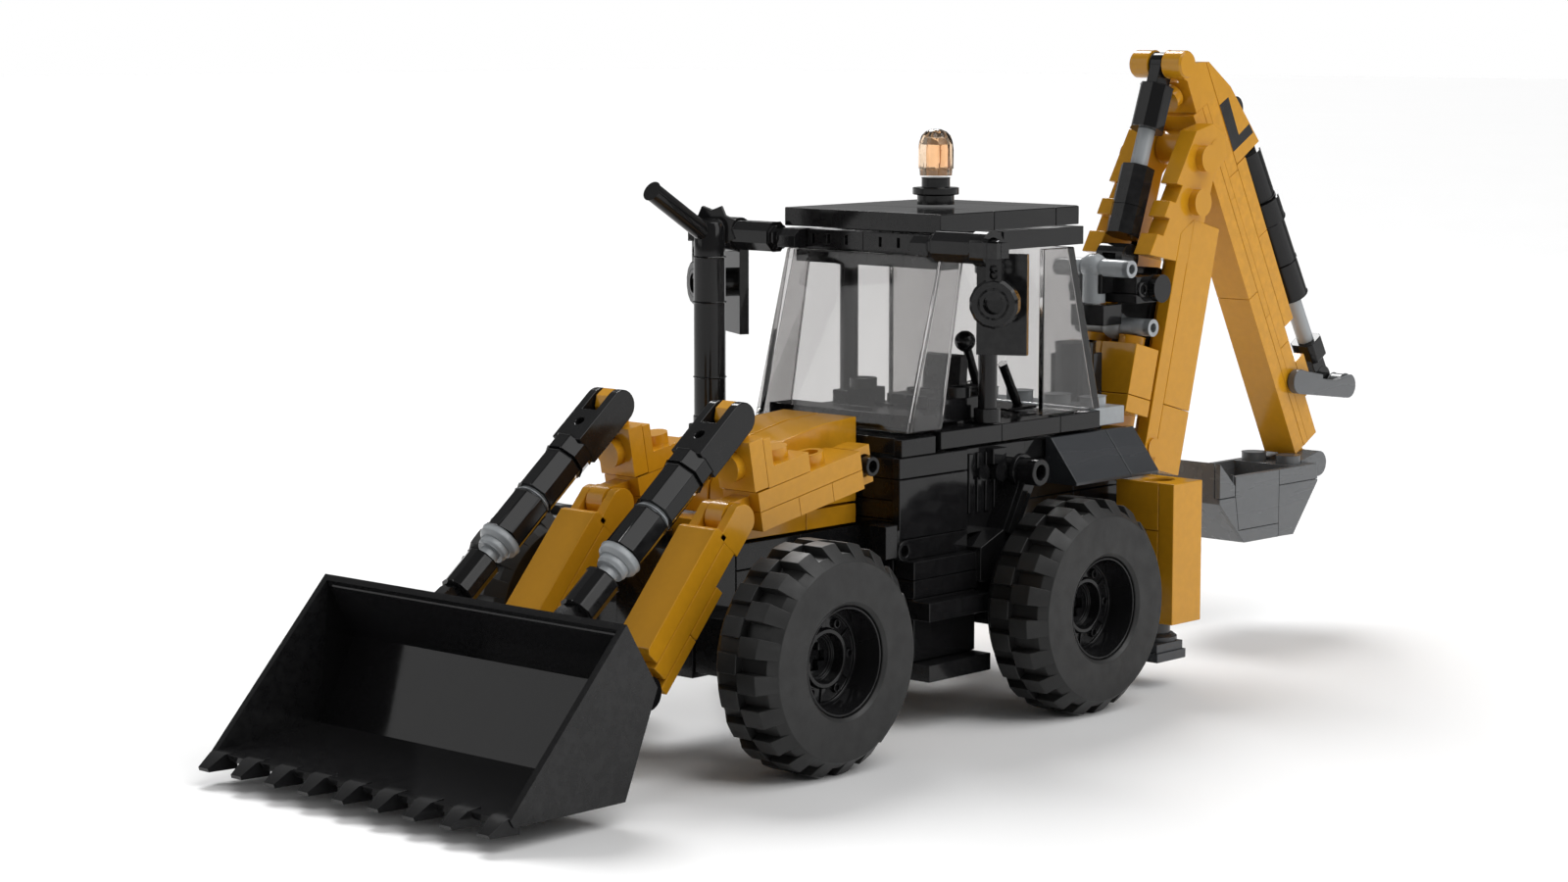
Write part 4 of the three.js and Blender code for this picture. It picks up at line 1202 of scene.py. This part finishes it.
def scoop_shells():
    """Digging bucket with slanted corners at its mouth and panelled sides."""
    h = SCOOP_HALF - 0.03
    inset = h - 0.5
    back, top = 137.65, 30.05
    outer = [(back, 33), (back, 25.2), (145.8, 17.1), (162.2, 16.95), (170.3, 26.6), (170, top), (143.2, top)]
    well = [(139, 40), (139, 26), (146.4, 18.9), (161.4, 18.7), (163.2, 21), (163.2, 40)]
    notch = block(h - WALL - 0.2, h + 1, 137, 142.6, 26.3, 40, 0)
    opposite = block(-h - 1, WALL + 0.2 - h, 137, 142.6, 26.3, 40, 0)
    tub = cut(prism_x(outer, -inset, inset), prism_x(well, WALL - h, h - WALL), notch, opposite)
    y1, y2, z1 = 142.7, 157.2, 27.0
    panels = [
        [
            (back, 26.15), (back, 25.2), (145.8, 17.1), (157.1, 17.02), (157.1, 19.6), (y1 + 1.2, 19.6),
            (y1, 26.15),
        ],
        [(y1 + 0.1, 26.2), (y1 + 1.3, 19.7), (y2 - 0.1, 19.7), (y2 - 0.1, top), (y1 + 0.1, top)],
        [(y2, 17.05), (162.2, 16.95), (170.3, 26.6), (170.26, z1 - SEAM), (y2, z1 - SEAM)],
        [(y2, z1 + SEAM), (170.25, z1 + SEAM), (170, top), (y2, top)],
    ]
    corner = [(back, 32.9), (back, 26.3), (142.6, 26.3), (142.6, 28.3)]
    y, z = SCOOP
    r = 2.45
    finger = [(168, z - 2.5), (y, z - 2.5)] + arc(r, -75, 75, 10, SCOOP) + [(y, z + r), (168, z + 1.2)]
    side = [prism_x(panel, inset - 0.02, h) for panel in panels]
    side += [prism_x(corner, h - WALL, h), prism_x(finger, 1.7, 5.6), stud("z", (4, 165.8, top))]
    return [tub] + both_sides(side)


def build_digger():
    boom = place(BOOM, BOOM_LEAN)
    stick = place(STICK, STICK_TILT)
    piece("swing_post", swing_post_shells(), "swing", "black")
    pair("boom_beam", boom_beam_shells(), "boom", "yellow", boom)
    piece("boom_foot", boom_foot_shells(), "boom", "yellow", boom)
    piece("boom_hub", boom_hub_shells(), "boom", "black")
    for node, drop in (("hose_tee_upper", 6.4), ("hose_tee_lower", 0.5)):
        low, high = node_box(node)
        y = (low[1] + high[1]) / 2 - FRONT_AXLE
        piece(node, tee_shells(y, high[2] - 2.6, drop), "boom", "light_grey")
    piece("stick", stick_shells(), "stick", "yellow", stick)
    make("stick_stripe", stripe_shells(), "stick", "black", stick, 0.02)
    end_block = 24.4
    reach = math.dist(DIPPER_LOW, DIPPER_TOP)
    dipper = place(DIPPER_LOW, slope(DIPPER_LOW, DIPPER_TOP))
    piece("dipper_barrel", dipper_barrel_shells(), "dipper_barrel", "black", dipper)
    piece("dipper_rod", cylinder_rod_shells(13, end_block), "dipper_rod", "light_grey", dipper)
    make("dipper_rod_end", dipper_end_shells(end_block, reach), "dipper_rod", "black", dipper)
    end_block = 53
    reach = math.dist(CURL_TOP, CURL_LOW)
    curl = place(CURL_TOP, slope(CURL_TOP, CURL_LOW))
    piece("curl_barrel", curl_barrel_shells(), "curl_barrel", "black", curl)
    piece("curl_rod", cylinder_rod_shells(30, end_block), "curl_rod", "light_grey", curl)
    make("curl_rod_end", curl_end_shells(end_block, reach), "curl_rod", "black", curl)
    piece("bucket_link", link_shells(), "bucket_link", "mid_grey", place(LINK, -6.5))
    piece("backhoe_bucket", scoop_shells(), "backhoe_bucket", "mid_grey")


build_wheels()
build_body()
build_cab()
build_loader()
build_digger()


# ------------------------ studio
def add_floor():
    size = 6.0
    mesh = bpy.data.meshes.new("floor")
    corners = [(-size, -size, 0), (size, -size, 0), (size, size, 0), (-size, size, 0)]
    mesh.from_pydata(corners, [], [(0, 1, 2, 3)])
    mesh.materials.append(FLOOR)
    floor = bpy.data.objects.new("floor", mesh)
    bpy.context.scene.collection.objects.link(floor)


MODEL_MIDDLE = (0, 0, 0.05)


def add_lamp(name, kind, power, shines_along, at=(0, 0, 0)):
    data = bpy.data.lights.new(name, kind)
    data.energy = power
    lamp = bpy.data.objects.new(name, data)
    lamp.location = at
    lamp.rotation_euler = Vector(shines_along).to_track_quat("-Z", "Y").to_euler()
    bpy.context.scene.collection.objects.link(lamp)
    return data


def add_area(name, at, size, power):
    """A soft square lamp that faces the model."""
    data = add_lamp(name, "AREA", power, Vector(MODEL_MIDDLE) - Vector(at), at)
    data.shape = "SQUARE"
    data.size = size


def add_sun(name, towards, strength, spread):
    """A wide, soft lamp that shines from a direction, the same everywhere on the floor."""
    data = add_lamp(name, "SUN", strength, -Vector(towards))
    data.angle = math.radians(spread)


def add_world(strength):
    """Dim surroundings for the object, behind a white backdrop."""
    world = bpy.data.worlds.new("studio")
    world.use_nodes = True
    tree = world.node_tree
    dim = tree.nodes["Background"]
    dim.inputs["Strength"].default_value = strength
    white = tree.nodes.new("ShaderNodeBackground")
    for node in (dim, white):
        node.inputs["Color"].default_value = (1, 1, 1, 1)
    path = tree.nodes.new("ShaderNodeLightPath")
    mix = tree.nodes.new("ShaderNodeMixShader")
    tree.links.new(path.outputs["Is Camera Ray"], mix.inputs["Fac"])
    tree.links.new(dim.outputs["Background"], mix.inputs[1])
    tree.links.new(white.outputs["Background"], mix.inputs[2])
    tree.links.new(mix.outputs["Shader"], tree.nodes["World Output"].inputs["Surface"])
    bpy.context.scene.world = world


add_floor()
add_world(0.2)
add_sun("key", (-0.55, 0.45, 0.80), 2.0, 26)
add_sun("top", (0.60, 0.20, 1.0), 1.3, 50)
add_area("softbox", (-0.75, -1.0, 0.55), 0.9, 2.2)
add_area("side", (1.3, 0.35, 0.7), 0.8, 4)
bpy.context.scene.view_settings.view_transform = "Standard"
